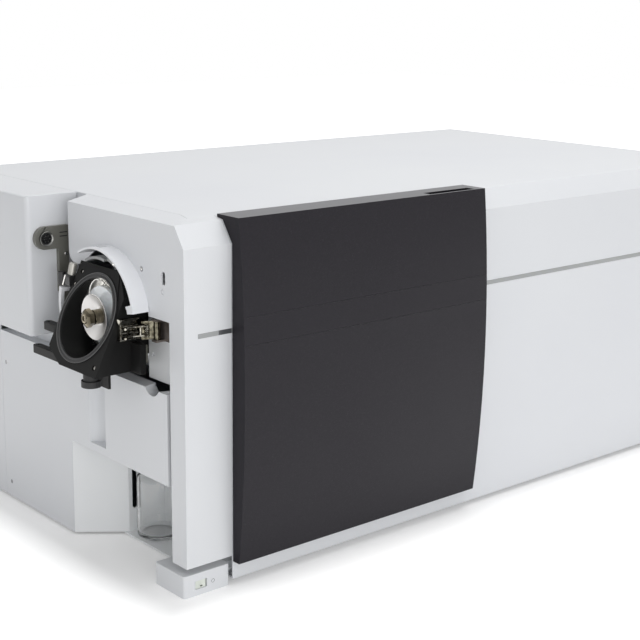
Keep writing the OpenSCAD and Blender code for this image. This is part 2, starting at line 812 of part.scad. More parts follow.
module desolvation_block() {
    color([0.17, 0.17, 0.17]) seat() difference() {
        union() {
            at_mouth() translate([0, 0, -flange_t]) linear_extrude(height = flange_t) flange_outline();
            intersection() {
                along_x(-90, neck_x) translate([axis_y, 0]) polygon([
                    [-block_half, block_low], [block_half - 44, block_low],
                    [block_half, block_low + 20], [block_half, block_high - 30],
                    [block_half - 20, block_high], [-block_half + 30, block_high],
                    [-block_half, block_high - 30]
                ]);
                at_mouth() translate([-200, -200, -200]) cube([400, 400, 200 - 1]);
            }
            slab([neck_x - 1, axis_y - neck_half, axis_z - neck_half],
                 [manifold_x, axis_y + neck_half, axis_z + neck_half]);
            for (l = lugs) lug(l[0], l[1], l[2]);
            slab([-16, axis_y - 98, block_low], [neck_x, axis_y, latch_low - 4]);
            slab([-46, axis_y - 58, block_low - 25], [-42, axis_y - 38, block_low + 1]);
        }
        at_mouth() translate([0, 0, -60]) cylinder(h = 70, r = mouth_r);
        rod_x(-90, cavity_x, axis_y, axis_z, mouth_r - 2);
        rod_x(cavity_x - 1, manifold_x + 1, axis_y, axis_z, cap_bore_r);
        at_mouth() translate([62, -65, -flange_t - 8]) cylinder(h = flange_t + 9, r = 4);
        for (p = [[-55, 64], [-64, 43]]) at_mouth() translate([p[0], p[1], -6]) cylinder(h = 7, r = 3.4);
        at_mouth() translate([0, 0, -2]) linear_extrude(height = 3) difference() {
            circle(r = seal_out + 0.2);
            circle(r = seal_in - 0.2);
        }
    }
}
cap_bore_r = 14;
seal_out = 70;
seal_in = 62.5;

module mouth_seal() {
    color([0.08, 0.08, 0.08]) seat() at_mouth() translate([0, 0, -2]) rotate_extrude()
        translate([seal_in, 0]) difference() {
            square([seal_out - seal_in, 3.6]);
            translate([2.4, 2.4]) square([seal_out - seal_in - 4.8, 2]);
        }
}

module drain_stub() {
    color([0.1, 0.1, 0.1]) seat() difference() {
        union() {
            post(stub_x, stub_y, block_low - 30, block_low, stub_r - 3);
            post(stub_x, stub_y, block_low - 32, block_low - 22, stub_r);
        }
        post(stub_x, stub_y, block_low - 33, block_low - 6, stub_r - 7);
    }
}

// Polished dish with the capillary's nose standing in it
module spray_shield() {
    color("silver") seat() turned_x(shield_x) {
        polygon([
            [barrel_r, shield_deep], [barrel_r, shield_deep - 2], [18, shield_deep - 3.5],
            [27, shield_deep - 7.5], [shield_r - 1, 0], [shield_r, 0.4], [shield_r, 1.8],
            [28, shield_deep - 5.8], [19, shield_deep - 1.8], [barrel_r + 3, shield_deep]
        ]);
    }
}
barrel_r = 11.5;
hex_r = 14;
tip_x = -50;

module capillary_cap() {
    color("tan") seat() difference() {
        union() {
            translate([tip_x, axis_y, axis_z]) rotate([0, 90, 0]) cylinder(h = 6, r1 = 5.5, r2 = 11);
            translate([tip_x + 6, axis_y, axis_z]) rotate([0, 90, 0]) cylinder(h = 6, r = hex_r, $fn = 6);
            rod_x(tip_x + 12, tip_x + 15, axis_y, axis_z, barrel_r - 2.5);
            rod_x(tip_x + 15, cap_end, axis_y, axis_z, barrel_r - seat_fit);
        }
        rod_x(tip_x - 1, tip_x + 4, axis_y, axis_z, 3.2);
        rod_x(tip_x - 1, 40, axis_y, axis_z, tube_r + seat_fit);
    }
}
tube_r = 1.6;
cap_end = shield_x + shield_deep + 1;

module ceramic_disc() {
    color("aliceblue") seat() difference() {
        rod_x(cavity_x - 10, cavity_x - 4, axis_y, axis_z, 45);
        rod_x(cavity_x - 11, cavity_x - 3, axis_y, axis_z, cap_bore_r);
    }
}

module end_plate() {
    color("wheat") seat() difference() {
        rod_x(cavity_x - 4, cavity_x, axis_y, axis_z, mouth_r - 2 - seat_fit);
        rod_x(cavity_x - 5, cavity_x + 1, axis_y, axis_z, cap_bore_r);
    }
}

module capillary_tube() {
    color("lightgray") seat() difference() {
        union() {
            rod_x(tip_x + 6, manifold_x + 46, axis_y, axis_z, tube_r);
            rod_x(cap_end, manifold_x, axis_y, axis_z, cap_bore_r - seat_fit);
            rod_x(manifold_x, manifold_x + 26, axis_y, axis_z, 8 - seat_fit);
        }
        rod_x(tip_x, manifold_x + 50, axis_y, axis_z, 0.6);
    }
}

module gas_fitting() {
    color("gray") seat() {
        slab([-30, axis_y + block_half, axis_z + 33], [-8, axis_y + block_half + 30, axis_z + 50]);
        translate([-20, axis_y + block_half + 9, axis_z + 50]) {
            cylinder(h = 4, r = 8);
            translate([0, 0, 2]) rotate([12, 8, 0]) cylinder(h = 20, r = 6.5);
        }
    }
}

// Inner wall of the source bay, hung from the frame beside the ledge
module bay_wall() {
    color("gainsboro") seat() difference() {
        union() {
            slab([bay_wall_x, skin + frame_side, axis_z - 90],
                 [bay_wall_x + skin, bay_wall_y, nose_h - 6]);
        }
        slab([bay_wall_x - 1, 0, 0], [bay_wall_x + skin + 1, pillar_d + 8 + skin + seam, plate_low - 1]);
        rod_x(bay_wall_x - 1, bay_wall_x + skin + 1, bay_wall_y - 12, axis_z - 52, 3);
    }
}

// Draw latch: base on the bay wall, lever on an upright pin, keeper on the block
latch_pin_r = 2.5;
latch_pin_x = bay_wall_x - 12;
latch_pin_y = bay_wall_y - 41;
latch_low = axis_z - 22;
latch_tall = 28;
latch_ear = 3;
keeper_y = axis_y - block_half;

module latch_base() {
    color("khaki") seat() difference() {
        union() {
            slab([bay_wall_x - 2.5, latch_pin_y - 30, latch_low - latch_ear],
                 [bay_wall_x, latch_pin_y + 12, latch_low + latch_tall + latch_ear]);
            for (z = [latch_low - latch_ear, latch_low + latch_tall])
                slab([latch_pin_x - 6, latch_pin_y - 6, z],
                     [bay_wall_x - 1, latch_pin_y + 6, z + latch_ear]);
        }
        post(latch_pin_x, latch_pin_y, latch_low - 20, latch_low + latch_tall + 20, latch_pin_r);
    }
}

module latch_pin() {
    color("silver") seat()
        post(latch_pin_x, latch_pin_y, latch_low - latch_ear,
             latch_low + latch_tall + latch_ear, latch_pin_r);
}

module latch_lever() {
    color("darkkhaki") seat() translate([latch_pin_x, latch_pin_y, latch_low + 0.3]) difference() {
        union() {
            cylinder(h = latch_tall - 0.6, r = 5);
            rotate([0, 0, lever_turn]) translate([0, -lever_in - lever_t, 0]) {
                cube([lever_l, lever_t, latch_tall - 0.6]);
                translate([lever_l - 3, -3, 2]) cube([3, 4, latch_tall - 4.6]);
                for (z = [9, 17]) translate([8, -2, z]) cube([lever_l - 9, 3, 2.5]);
            }
        }
        translate([0, 0, -1]) cylinder(h = latch_tall + 2, r = latch_pin_r + shaft_fit);
    }
}
lever_turn = 152;
lever_l = 23;
lever_t = 1.8;
lever_in = 2.9;

module latch_keeper() {
    top = latch_low + latch_tall + 6;
    face_y = keeper_y - 3.3;
    color("khaki") seat() {
        slab([-25, face_y, latch_low + 4], [-7, keeper_y, top - 2]);
        slab([-40, face_y - 2.5, latch_low + 2], [-7, face_y, top]);
        for (z = [latch_low + 2, top - 2.5]) slab([-40, face_y - 8, z], [-7, face_y, z + 2.5]);
        slab([-40, face_y - 8, latch_low + 2], [-37.5, face_y, top]);
        for (z = [latch_low + 12, latch_low + 22]) rod_x(-39, -8, face_y - 4, z, 2.5);
    }
}

/* Analyser */

module bulkhead(x) {
    difference() {
        slab([x, axis_y - manifold_half + 1, manifold_low + 1],
             [x + bulkhead_t, axis_y + manifold_half - 1, manifold_top]);
        rod_x(x - 1, x + bulkhead_t + 1, axis_y, axis_z, 14);
    }
}

module vacuum_manifold() {
    color("lightsteelblue") seat() {
        difference() {
            slab([manifold_x, axis_y - manifold_half, manifold_low],
                 [manifold_end, axis_y + manifold_half, manifold_top]);
            slab([manifold_x + manifold_wall, axis_y - manifold_half + manifold_wall, inner_floor],
                 [manifold_end - manifold_wall, axis_y + manifold_half - manifold_wall, manifold_top + 1]);
            rod_x(manifold_x - 1, manifold_x + manifold_wall + 1, axis_y, axis_z, 8);
            for (x = pump_x) post(x, axis_y, manifold_low - 1, manifold_low + manifold_wall + 1, rotor_r);
        }
        bulkhead(manifold_x + stage_1);
        bulkhead(manifold_x + stage_2);
    }
}

module lid_seal() {
    color("black") seat() translate([0, 0, manifold_top]) linear_extrude(height = seal_t) difference() {
        translate([manifold_x + 4, axis_y - manifold_half + 4])
            square([manifold_l - 8, 2 * manifold_half - 8]);
        translate([manifold_x + 9, axis_y - manifold_half + 9])
            square([manifold_l - 18, 2 * manifold_half - 18]);
    }
}

module manifold_lid() {
    color("lightsteelblue") seat() {
        slab([manifold_x, axis_y - manifold_half, manifold_top + seal_t],
             [manifold_end, axis_y + manifold_half, manifold_top + seal_t + lid_t]);
        for (x = [manifold_x + 60:180:manifold_end - 60], y = [axis_y - 70, axis_y + 70])
            post(x, y, manifold_top + seal_t + lid_t, manifold_top + seal_t + lid_t + 5, 7);
    }
}

inner_floor = manifold_low + manifold_wall;

// Foot that carries an axis part on the manifold's floor
module axis_foot(x0, x1, half, top) {
    slab([x0, axis_y - half, inner_floor], [x1, axis_y + half, top]);
}

module skimmer() {
    color("silver") seat() difference() {
        union() {
            axis_foot(manifold_x + 60, manifold_x + 66, 40, axis_z + 40);
            turned_x(manifold_x + 50) polygon([[1, 0], [1.8, 0], [14, 11], [12, 11]]);
        }
        rod_x(manifold_x + 60, manifold_x + 70, axis_y, axis_z, 11);
    }
}

guide_x = [manifold_x + 72, manifold_x + stage_1 - 4];
guide_ring = 8;

module ion_guide_rods() {
    color("silver") seat() for (a = [22.5:45:359])
        rod_x(guide_x[0], guide_x[1], axis_y + guide_ring * cos(a), axis_z + guide_ring * sin(a), 1.5);
}

module ion_guide_rings() {
    color("ivory") seat() for (x = [guide_x[0] + 8, guide_x[1] - 16]) difference() {
        union() {
            rod_x(x, x + 8, axis_y, axis_z, 16);
            axis_foot(x, x + 8, 10, axis_z - 10);
        }
        rod_x(x - 1, x + 9, axis_y, axis_z, guide_ring - 2);
        for (a = [22.5:45:359])
            rod_x(x - 1, x + 9, axis_y + guide_ring * cos(a), axis_z + guide_ring * sin(a),
                  1.5 + seat_fit);
    }
}

quad_x = [[manifold_x + 180, manifold_x + 400], [manifold_end - 350, manifold_end - 130]];
collar_r = 38;

module ring_of_rods(x0, x1, r) {
    for (a = [45:90:359]) rod_x(x0, x1, axis_y + rod_ring * cos(a), axis_z + rod_ring * sin(a), r);
}

module quadrupole_rods() {
    color("goldenrod") seat() for (q = quad_x) ring_of_rods(q[0], q[1], rod_r);
}

module quadrupole_collars() {
    color("ivory") seat() for (q = quad_x, x = [q[0] + 8, q[1] - 28]) difference() {
        union() {
            rod_x(x, x + 20, axis_y, axis_z, collar_r);
            axis_foot(x, x + 20, 20, axis_z - 30);
        }
        rod_x(x - 1, x + 21, axis_y, axis_z, rod_ring - 4);
        ring_of_rods(x - 1, x + 21, rod_r + seat_fit);
    }
}

cell_x = [manifold_x + 430, manifold_x + stage_2 - 20];

module collision_cell() {
    color("lightgray") seat() difference() {
        union() {
            slab([cell_x[0], axis_y - 32, axis_z - 32], [cell_x[1], axis_y + 32, axis_z + 32]);
            axis_foot(cell_x[0] + 10, cell_x[1] - 10, 24, axis_z - 30);
            post(cell_x[0] + 80, axis_y, axis_z + 30, axis_z + 46, 5);
        }
        rod_x(cell_x[0] + 6, cell_x[1] - 6, axis_y, axis_z, 22);
        rod_x(cell_x[0] - 1, cell_x[1] + 1, axis_y, axis_z, 5);
    }
}

module ion_detector() {
    detector_x = quad_x[1][1] + 20;
    color("dimgray") seat() difference() {
        union() {
            slab([detector_x, axis_y - 35, axis_z - 40], [detector_x + 80, axis_y + 35, axis_z + 40]);
            axis_foot(detector_x + 10, detector_x + 70, 25, axis_z - 39);
        }
        rod_x(detector_x - 1, detector_x + 50, axis_y, axis_z, 18);
        post(detector_x + 32, axis_y, axis_z, axis_z + 41, 14);
    }
}

pump_port_z = pipe_z;

module pump_housings() {
    color("silver") seat() for (x = pump_x) difference() {
        union() {
            post(x, axis_y, pump_low, manifold_low, pump_r);
            post(x, axis_y, manifold_low - pump_flange_t, manifold_low, manifold_half - 3);
            post(x, axis_y, pump_low - 30, pump_low, pump_r - 14);
            rod_y(axis_y + pump_r - 10, pipe_y - pipe_r - 1, x, pump_port_z, pipe_r);
            for (i = [0:5]) post(x, axis_y, pump_low + 8 + i * 9, pump_low + 12 + i * 9, pump_r + 6);
        }
        post(x, axis_y, pump_low + 40, manifold_low + 1, rotor_r + pump_gap);
        post(x, axis_y, pump_low - 5, pump_low + 41, pump_shaft_r + shaft_fit);
        rod_y(axis_y + 20, pipe_y, x, pump_port_z, pipe_bore);
    }
}

module pump_rotor(x) {
    color("lightgray") seat() {
        post(x, axis_y, pump_low - 4.5, manifold_low - 20, pump_shaft_r);
        post(x, axis_y, pump_low + 50, manifold_low - 20, 22);
        for (z = [pump_low + 70, pump_low + 100, pump_low + 130]) intersection() {
            post(x, axis_y, z - 6, z + 6, rotor_r);
            for (a = [0:30:359]) translate([x, axis_y, z]) rotate([0, 0, a]) translate([18, -1, -6])
                rotate([35, 0, 0]) translate([0, 0, -4]) cube([rotor_r, 2, 20]);
        }
    }
}

module pump_rotor_front() {
    pump_rotor(pump_x[0]);
}

module pump_rotor_rear() {
    pump_rotor(pump_x[1]);
}

module pipe_runs(r, extra) {
    rod_x(pump_x[0] - pipe_r - extra, pump_x[1] + pipe_r + extra, pipe_y, pipe_z, r);
    rod_y(pipe_y, y_rear + extra, pipe_exit_x, pipe_z, r);
}

module foreline_pipe() {
    color("silver") seat() difference() {
        union() {
            pipe_runs(pipe_r, 0);
            for (x = pump_x) rod_y(pipe_y - pipe_r - 1, pipe_y, x, pipe_z, pipe_r);
            rod_y(y_rear - 5, y_rear, pipe_exit_x, pipe_z, 20);
        }
        rod_x(pump_x[0] - pipe_bore, pump_x[1] + pipe_bore, pipe_y, pipe_z, pipe_bore);
        rod_y(pipe_y, y_rear + 1, pipe_exit_x, pipe_z, pipe_bore);
        for (x = pump_x) rod_y(pipe_y - pipe_r - 2, pipe_y, x, pipe_z, pipe_bore);
    }
}

/* Electronics */

module electronics_shelf() {
    color("silver") seat()
        slab([post_x + 4, 290, manifold_low],
             [body_w - skin - frame_side, body_d - skin - 4, manifold_low + shelf_t]);
}

shelf_z = manifold_low + shelf_t;

// Radio supplies of the two quadrupoles: boxes with cooling fins
radio_x = [post_x + 95, body_w - 530];
radio_y = [310, body_d - 235];
radio_l = 220;
radio_h = 150;
fin_h = 12;
fin_t = 4;
fin_step = 20;

module radio_supplies() {
    color("gray") seat() for (x = radio_x) {
        slab([x, radio_y[0], shelf_z], [x + radio_l, radio_y[1], shelf_z + radio_h]);
        for (i = [0:9])
            slab([x + 10 + i * fin_step, radio_y[0] + 10, shelf_z + radio_h],
                 [x + 10 + fin_t + i * fin_step, radio_y[1] - 10, shelf_z + radio_h + fin_h]);
    }
}

// Power supply on the tray, with air slots in its front
power_x = [body_w - 510, body_w - 250];
power_y = [body_d - 295, body_d - 75];
power_h = 120;
slit_w = 10;
slit_step = 22;
slit_deep = 4;

module power_supply() {
    color("gray") seat() difference() {
        slab([power_x[0], power_y[0], deck_z], [power_x[1], power_y[1], deck_z + power_h]);
        for (i = [0:9])
            slab([power_x[0] + 20 + i * slit_step, power_y[0] - 1, deck_z + 30],
                 [power_x[0] + 20 + slit_w + i * slit_step,
                  power_y[0] + slit_deep, deck_z + power_h - 30]);
    }
}

// Main board on spacers, with its larger chips
board_x = [post_x + 95, body_w - 570];
board_y = [body_d - 195, body_d - 35];
board_z = shelf_z + 8;
board_t = 2;
chip = [34, 30, 5];
chip_step = 80;

module main_board() {
    color("darkgreen") seat() {
        slab([board_x[0], board_y[0], board_z], [board_x[1], board_y[1], board_z + board_t]);
        for (x = [board_x[0] + 10, (board_x[0] + board_x[1]) / 2, board_x[1] - 10],
             y = [board_y[0] + 10, board_y[1] - 10])
            post(x, y, shelf_z, board_z, 4);
        for (x = [board_x[0] + 50:chip_step:board_x[1] - 50], y = [board_y[0] + 40, board_y[0] + 100])
            translate([x, y, board_z + board_t]) cube(chip);
    }
}

module fan_frame(x) {
    y0 = body_d - skin - fan_deep;
    difference() {
        slab([x - fan_side / 2, y0, fan_z - fan_side / 2],
             [x + fan_side / 2, body_d - skin, fan_z + fan_side / 2]);
        rod_y(y0 - 1, body_d, x, fan_z, fan_side / 2 - 3);
    }
    difference() {
        union() {
            for (a = [45:90:359]) translate([x, y0, fan_z]) rotate([0, -a, 0])
                translate([fan_hub_r - 2, 0, -3]) cube([fan_side / 2 - fan_hub_r, 4, 6]);
            rod_y(y0, y0 + 10, x, fan_z, fan_hub_r);
        }
        rod_y(y0 - 1, y0 + 11, x, fan_z, 4 + shaft_fit);
    }
}

module fan_frames() {
    color([0.15, 0.15, 0.15]) seat() for (x = fan_x) fan_frame(x);
}

module fan_wheel(x) {
    y0 = body_d - skin - fan_deep + 10.4;
    color("black") seat() {
        rod_y(y0 - 10, y0 + 1, x, fan_z, 4);
        rod_y(y0, y0 + 22, x, fan_z, fan_hub_r);
        intersection() {
            rod_y(y0, y0 + 22, x, fan_z, fan_side / 2 - 5);
            for (a = [0:360 / 7:359]) translate([x, y0 + 11, fan_z]) rotate([0, a, 0])
                rotate([40, 0, 0]) translate([fan_hub_r - 3, -14, -1.2]) cube([fan_side / 2, 28, 2.4]);
        }
    }
}

module fan_wheel_inner() {
    fan_wheel(fan_x[0]);
}

module fan_wheel_outer() {
    fan_wheel(fan_x[1]);
}

module mains_inlet() {
    color("black") seat() {
        difference() {
            union() {
                slab([inlet_x - 27, body_d, inlet_z - 19], [inlet_x + 27, body_d + 3, inlet_z + 19]);
                slab([inlet_x - 24 + seat_fit, body_d - 28, inlet_z - 16 + seat_fit],
                     [inlet_x + 24 - seat_fit, body_d, inlet_z + 16 - seat_fit]);
            }
            slab([inlet_x - 14, body_d - 20, inlet_z - 9], [inlet_x + 14, body_d + 4, inlet_z + 9]);
        }
        for (x = [-8, 0, 8]) slab([inlet_x + x - 1, body_d - 21, inlet_z - 3 + (x == 0 ? 3 : 0)],
                                  [inlet_x + x + 1, body_d - 5, inlet_z + 3 + (x == 0 ? 3 : 0)]);
    }
}

module gas_ports() {
    color("goldenrod") seat() for (x = gas_x) difference() {
        union() {
            rod_y(body_d - 20, body_d + 12, x, gas_z, 5);
            rod_y(body_d, body_d + 6, x, gas_z, 8);
            rod_y(body_d - 20, body_d - skin, x, gas_z, 8);
        }
        rod_y(body_d - 21, body_d + 13, x, gas_z, 2.2);
    }
}

top_hood();
corner_cover();
front_lower_cover();
trim_stripe();
status_lens();
front_panel();
foot_box();
power_rocker();
side_box_cover();
lower_side_cover();
rear_side_cover();
niche_liner();
drain_bottle();
right_cover();
rear_panel();
cover_screws();
base_tray();
rubber_feet();
chassis_frame();
source_shroud();
hinge_guard();
connector_arm();
signal_connector();
desolvation_block();
mouth_seal();
drain_stub();
spray_shield();
capillary_cap();
ceramic_disc();
end_plate();
capillary_tube();
gas_fitting();
bay_wall();
latch_base();
latch_keeper();
latch_lever();
latch_pin();
vacuum_manifold();
manifold_lid();
lid_seal();
skimmer();
ion_guide_rods();
ion_guide_rings();
quadrupole_rods();
quadrupole_collars();
collision_cell();
ion_detector();
pump_housings();
pump_rotor_front();
pump_rotor_rear();
foreline_pipe();
electronics_shelf();
radio_supplies();
power_supply();
main_board();
fan_frames();
fan_wheel_inner();
fan_wheel_outer();
mains_inlet();
gas_ports();
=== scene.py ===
import math

import bmesh
import bpy
import numpy as np
from mathutils import Matrix


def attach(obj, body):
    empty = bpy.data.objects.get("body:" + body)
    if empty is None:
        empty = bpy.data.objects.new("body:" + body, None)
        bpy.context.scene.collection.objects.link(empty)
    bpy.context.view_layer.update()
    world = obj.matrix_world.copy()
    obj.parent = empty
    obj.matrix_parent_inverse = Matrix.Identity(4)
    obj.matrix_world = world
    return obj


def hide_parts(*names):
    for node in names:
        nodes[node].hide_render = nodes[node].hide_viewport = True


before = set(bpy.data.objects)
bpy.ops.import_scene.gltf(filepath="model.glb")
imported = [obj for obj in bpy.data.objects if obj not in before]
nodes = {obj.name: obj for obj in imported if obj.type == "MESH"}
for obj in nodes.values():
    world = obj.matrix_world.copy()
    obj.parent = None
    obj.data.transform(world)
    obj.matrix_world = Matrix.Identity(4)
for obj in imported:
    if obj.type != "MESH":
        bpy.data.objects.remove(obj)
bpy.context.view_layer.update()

# The camera stands off the left front corner and looks slightly down, from about
# two metres. Its roll is the small tilt of a hand-levelled tripod.
eye = (-1.65955, -1.87185, 0.87102)
turn, dip, roll = (math.radians(a) for a in (40.9183, 13.6064, 0.7172))
ahead = np.array([math.sin(turn) * math.cos(dip), math.cos(turn) * math.cos(dip), -math.sin(dip)])
level = np.array([math.cos(turn), -math.sin(turn), 0.0])
over = np.cross(level, ahead)
sideways = level * math.cos(roll) + over * math.sin(roll)
upward = over * math.cos(roll) - level * math.sin(roll)


def stood(right, up, back, place):
    """Matrix of a camera or lamp at a place that looks away from its back vector."""
    stand = np.eye(4)
    stand[:3] = np.c_[right, up, back, place]
    return Matrix(stand.tolist())


camera = bpy.data.objects.new("camera", bpy.data.cameras.new("camera"))
camera.data.sensor_width = 36.0
camera.data.lens = 76.39
camera.data.clip_end = 60.0
bpy.context.scene.collection.objects.link(camera)
camera.matrix_world = stood(sideways, upward, -ahead, eye)
bpy.context.scene.camera = camera
bpy.context.scene.view_settings.view_transform = "Standard"


# White casing: folded sheet steel, powder coated in a warm white. The sheets are bent,
# welded at the corners, ground and coated, so each edge has a small even radius.
def tone(*rgb):
    """A colour out of 255 as linear light with full alpha."""
    c = np.array(rgb) / 255.0
    return (*np.where(c <= 0.04045, c / 12.92, ((c + 0.055) / 1.055) ** 2.4), 1.0)


def add(tree, kind, inputs=(), **settings):
    """A shader node whose inputs are plain values or other nodes' outputs."""
    made = tree.nodes.new("ShaderNode" + kind)
    for key, value in settings.items():
        setattr(made, key, value)
    for key, value in dict(inputs).items():
        if isinstance(value, bpy.types.NodeSocket):
            tree.links.new(value, made.inputs[key])
        else:
            made.inputs[key].default_value = value
    return made


def mixed(tree, share, first, second):
    """The colour that lies a share of the way from the first to the second."""
    return add(tree, "Mix", {0: share, 6: first, 7: second}, data_type="RGBA").outputs[2]


SKIN = (("Colour", "Color"), ("Roughness", "Float"), ("Height", "Float"))


def effect(name, *inputs):
    """A node group that makes a skin, with the outputs of its input node by name."""
    group = bpy.data.node_groups.new(name, "ShaderNodeTree")
    for label, kind, value in (("Vector", "Vector", None), ("Colour", "Color", None), *inputs):
        socket = group.interface.new_socket(
            label, in_out="INPUT", socket_type="NodeSocket" + kind
        )
        if value is not None:
            socket.default_value = value
    for label, kind in SKIN:
        group.interface.new_socket(label, in_out="OUTPUT", socket_type="NodeSocket" + kind)
    return group, group.nodes.new("NodeGroupInput").outputs


def give(group, given, colour, noise, middle, height):
    """Ends an effect: its colour, its height, and roughness = (noise - middle) * Spread + Rough."""
    swing = add(group, "Math", {0: noise, 1: middle}, operation="SUBTRACT").outputs[0]
    rough = add(
        group, "Math", {0: swing, 1: given["Spread"], 2: given["Rough"]}, operation="MULTIPLY_ADD"
    )
    ends = group.nodes.new("NodeGroupOutput").inputs
    for (label, _), socket in zip(SKIN, (colour, rough.outputs[0], height)):
        group.links.new(socket, ends[label])


# Effect of a coated or moulded skin: fine bumps, and slow drifts of shade and gloss
grain, given = effect(
    "grain",
    ("Shade", "Color", None),
    ("Size", "Float", 900.0),
    ("Drift", "Float", 3.0),
    ("Rough", "Float", 0.45),
    ("Spread", "Float", 0.12),
)
place = given["Vector"]
fine = add(grain, "TexNoise", {"Vector": place, "Scale": given["Size"], "Detail": 2.0})
slow = add(grain, "TexNoise", {"Vector": place, "Scale": given["Drift"], "Detail": 3.0})
fine, slow = fine.outputs["Fac"], slow.outputs["Fac"]
blend = add(grain, "MapRange", {"Value": slow, "From Min": 0.35, "From Max": 0.65})
coat = mixed(grain, blend.outputs["Result"], given["Colour"], given["Shade"])
both = add(grain, "Math", {0: fine, 1: slow}, operation="ADD").outputs[0]
give(grain, given, coat, both, 1.0, fine)


def finish(name, skin, colour, shade, bump, **values):
    """A material: an effect feeds colour, roughness and bump to a Principled shader.

    The colours are out of 255, and bump is its strength and height in metres. Each value
    goes to the effect's input of its name, or else to the shader's.
    """
    material = bpy.data.materials.new(name)
    material.use_nodes = True
    tree = material.node_tree
    shader = tree.nodes["Principled BSDF"]
    place = add(tree, "TexCoord").outputs["Object"]
    group = add(
        tree, "Group", {"Vector": place, 1: tone(*colour), 2: tone(*shade)}, node_tree=skin
    )
    for key, value in values.items():
        socket = group.inputs.get(key) or shader.inputs[key.replace("_", " ")]
        socket.default_value = value
    lift = add(
        tree, "Bump", {"Height": group.outputs["Height"], "Strength": bump[0], "Distance": bump[1]}
    )
    tree.links.new(group.outputs["Colour"], shader.inputs["Base Color"])
    tree.links.new(group.outputs["Roughness"], shader.inputs["Roughness"])
    tree.links.new(lift.outputs["Normal"], shader.inputs["Normal"])
    return material


def soften(names, width, material):
    """Real edges for CAD nodes: seams welded, flat faces joined, then a small bevel in mm."""
    for name in names:
        body = nodes[name].data
        if "custom_normal" in body.attributes:
            body.attributes.remove(body.attributes["custom_normal"])
        body.polygons.foreach_set("use_smooth", np.ones(len(body.polygons), bool))
        body.materials.clear()
        body.materials.append(material)
        weld = nodes[name].modifiers.new("weld", "WELD")
        weld.merge_threshold = 0.00001
        flat = nodes[name].modifiers.new("flat", "DECIMATE")
        flat.decimate_type = "DISSOLVE"
        flat.angle_limit = math.radians(0.6)
        edge = nodes[name].modifiers.new("edge", "BEVEL")
        edge.width = width / 1000.0
        edge.segments = 2
        edge.limit_method = "ANGLE"
        edge.angle_limit = math.radians(34.0)
        edge.harden_normals = True


cover_white = finish(
    "cover_white", grain, (231, 233, 236), (228, 230, 234), (0.12, 0.00012),
    Size=1400.0, Drift=2.2, Rough=0.42, Spread=0.1, IOR=1.5,
)
soften(
    ["top_hood", "corner_cover", "front_lower_cover", "side_box_cover", "lower_side_cover",
     "rear_side_cover", "right_cover", "foot_box"],
    0.8,
    cover_white,
)

# Niche liner and bay wall: a moulded and a folded lining of the openings at the left end,
# in a white painted brighter than the covers, painted fill light for the shaded openings.
liner_white = finish(
    "liner_white", grain, (249, 251, 252), (246, 248, 250), (0.12, 0.00012),
    Size=1400.0, Drift=2.2, Rough=0.45, Spread=0.1,
)
soften(["niche_liner", "bay_wall"], 0.8, liner_white)

# Rear panel: the same sheet steel as the covers, laser cut for the fans and ports, with a
# thinner, greyer coat where no one looks.
panel_steel = finish(
    "panel_steel", grain, (214, 217, 220), (208, 211, 215), (0.12, 0.00012),
    Size=1400.0, Drift=2.6, Rough=0.45, Spread=0.12,
)
soften(["rear_panel"], 0.5, panel_steel)

# Trim stripe: a light grey plastic strip let into the front, with a smoked window at its
# left end that hides the status lamps. Both are moulded and clipped in.
stripe_grey = finish(
    "stripe_grey", grain, (168, 170, 170), (162, 164, 165), (0.12, 0.0001),
    Size=1200.0, Rough=0.4, Spread=0.1,
)
soften(["trim_stripe"], 0.3, stripe_grey)
lens_smoke = finish(
    "lens_smoke", grain, (88, 90, 92), (80, 82, 85), (0.03, 0.0001),
    Size=300.0, Rough=0.16, Spread=0.04, Coat_Weight=0.2,
)
soften(["status_lens"], 0.3, lens_smoke)

# Dark front panel: one bowed moulding in charcoal plastic with a faint metallic fleck,
# hung on the front by pegs, with a finger slot in its top ledge. Faces that look up, as
# that ledge does, are painted paler, a painted sheen.
fleck, given = effect(
    "fleck",
    ("Spark", "Color", None),
    ("Size", "Float", 2600.0),
    ("Rough", "Float", 0.42),
    ("Spread", "Float", 0.16),
)
place = given["Vector"]
cells = add(fleck, "TexVoronoi", {"Vector": place, "Scale": given["Size"]})
tint = add(fleck, "SeparateColor", {"Color": cells.outputs["Color"]})
spark = add(fleck, "MapRange", {"Value": tint.outputs[0], "From Min": 0.9, "From Max": 1.0})
haze = add(fleck, "TexNoise", {"Vector": place, "Scale": 5.0, "Detail": 4.0})
bead = add(fleck, "TexNoise", {"Vector": place, "Scale": 1500.0, "Detail": 2.0})
give(
    fleck,
    given,
    mixed(fleck, spark.outputs["Result"], given["Colour"], given["Spark"]),
    haze.outputs["Fac"],
    0.5,
    bead.outputs["Fac"],
)
panel_charcoal = finish(
    "panel_charcoal", fleck, (36, 34, 39), (64, 62, 68), (0.15, 0.0001), Specular_IOR_Level=0.16
)
tree = panel_charcoal.node_tree
charcoal = tree.nodes["Principled BSDF"].inputs["Base Color"]
# Painted sheen: faces whose normal points up get their colour mixed towards a paler grey
facing = add(tree, "SeparateXYZ", {0: add(tree, "NewGeometry").outputs["Normal"]})
ledge = add(tree, "MapRange", {"Value": facing.outputs["Z"], "From Min": 0.8, "From Max": 0.97})
painted_sheen = mixed(tree, ledge.outputs["Result"], charcoal.links[0].from_socket, tone(124, 124, 127))
tree.links.new(painted_sheen, charcoal)
soften(["front_panel"], 0.7, panel_charcoal)

# Foot box: a small white moulding under the front corner. Its rocker switch is greenish
# white with a lamp window and sits in a bezel, and a standby ring is printed beside it.
rocker_pale = finish(
    "rocker_pale", grain, (233, 238, 229), (228, 234, 224), (0.05, 0.0001),
    Size=800.0, Rough=0.3, Spread=0.06,
)
soften(["power_rocker"], 0.5, rocker_pale)
X, Y, Z = np.eye(3)


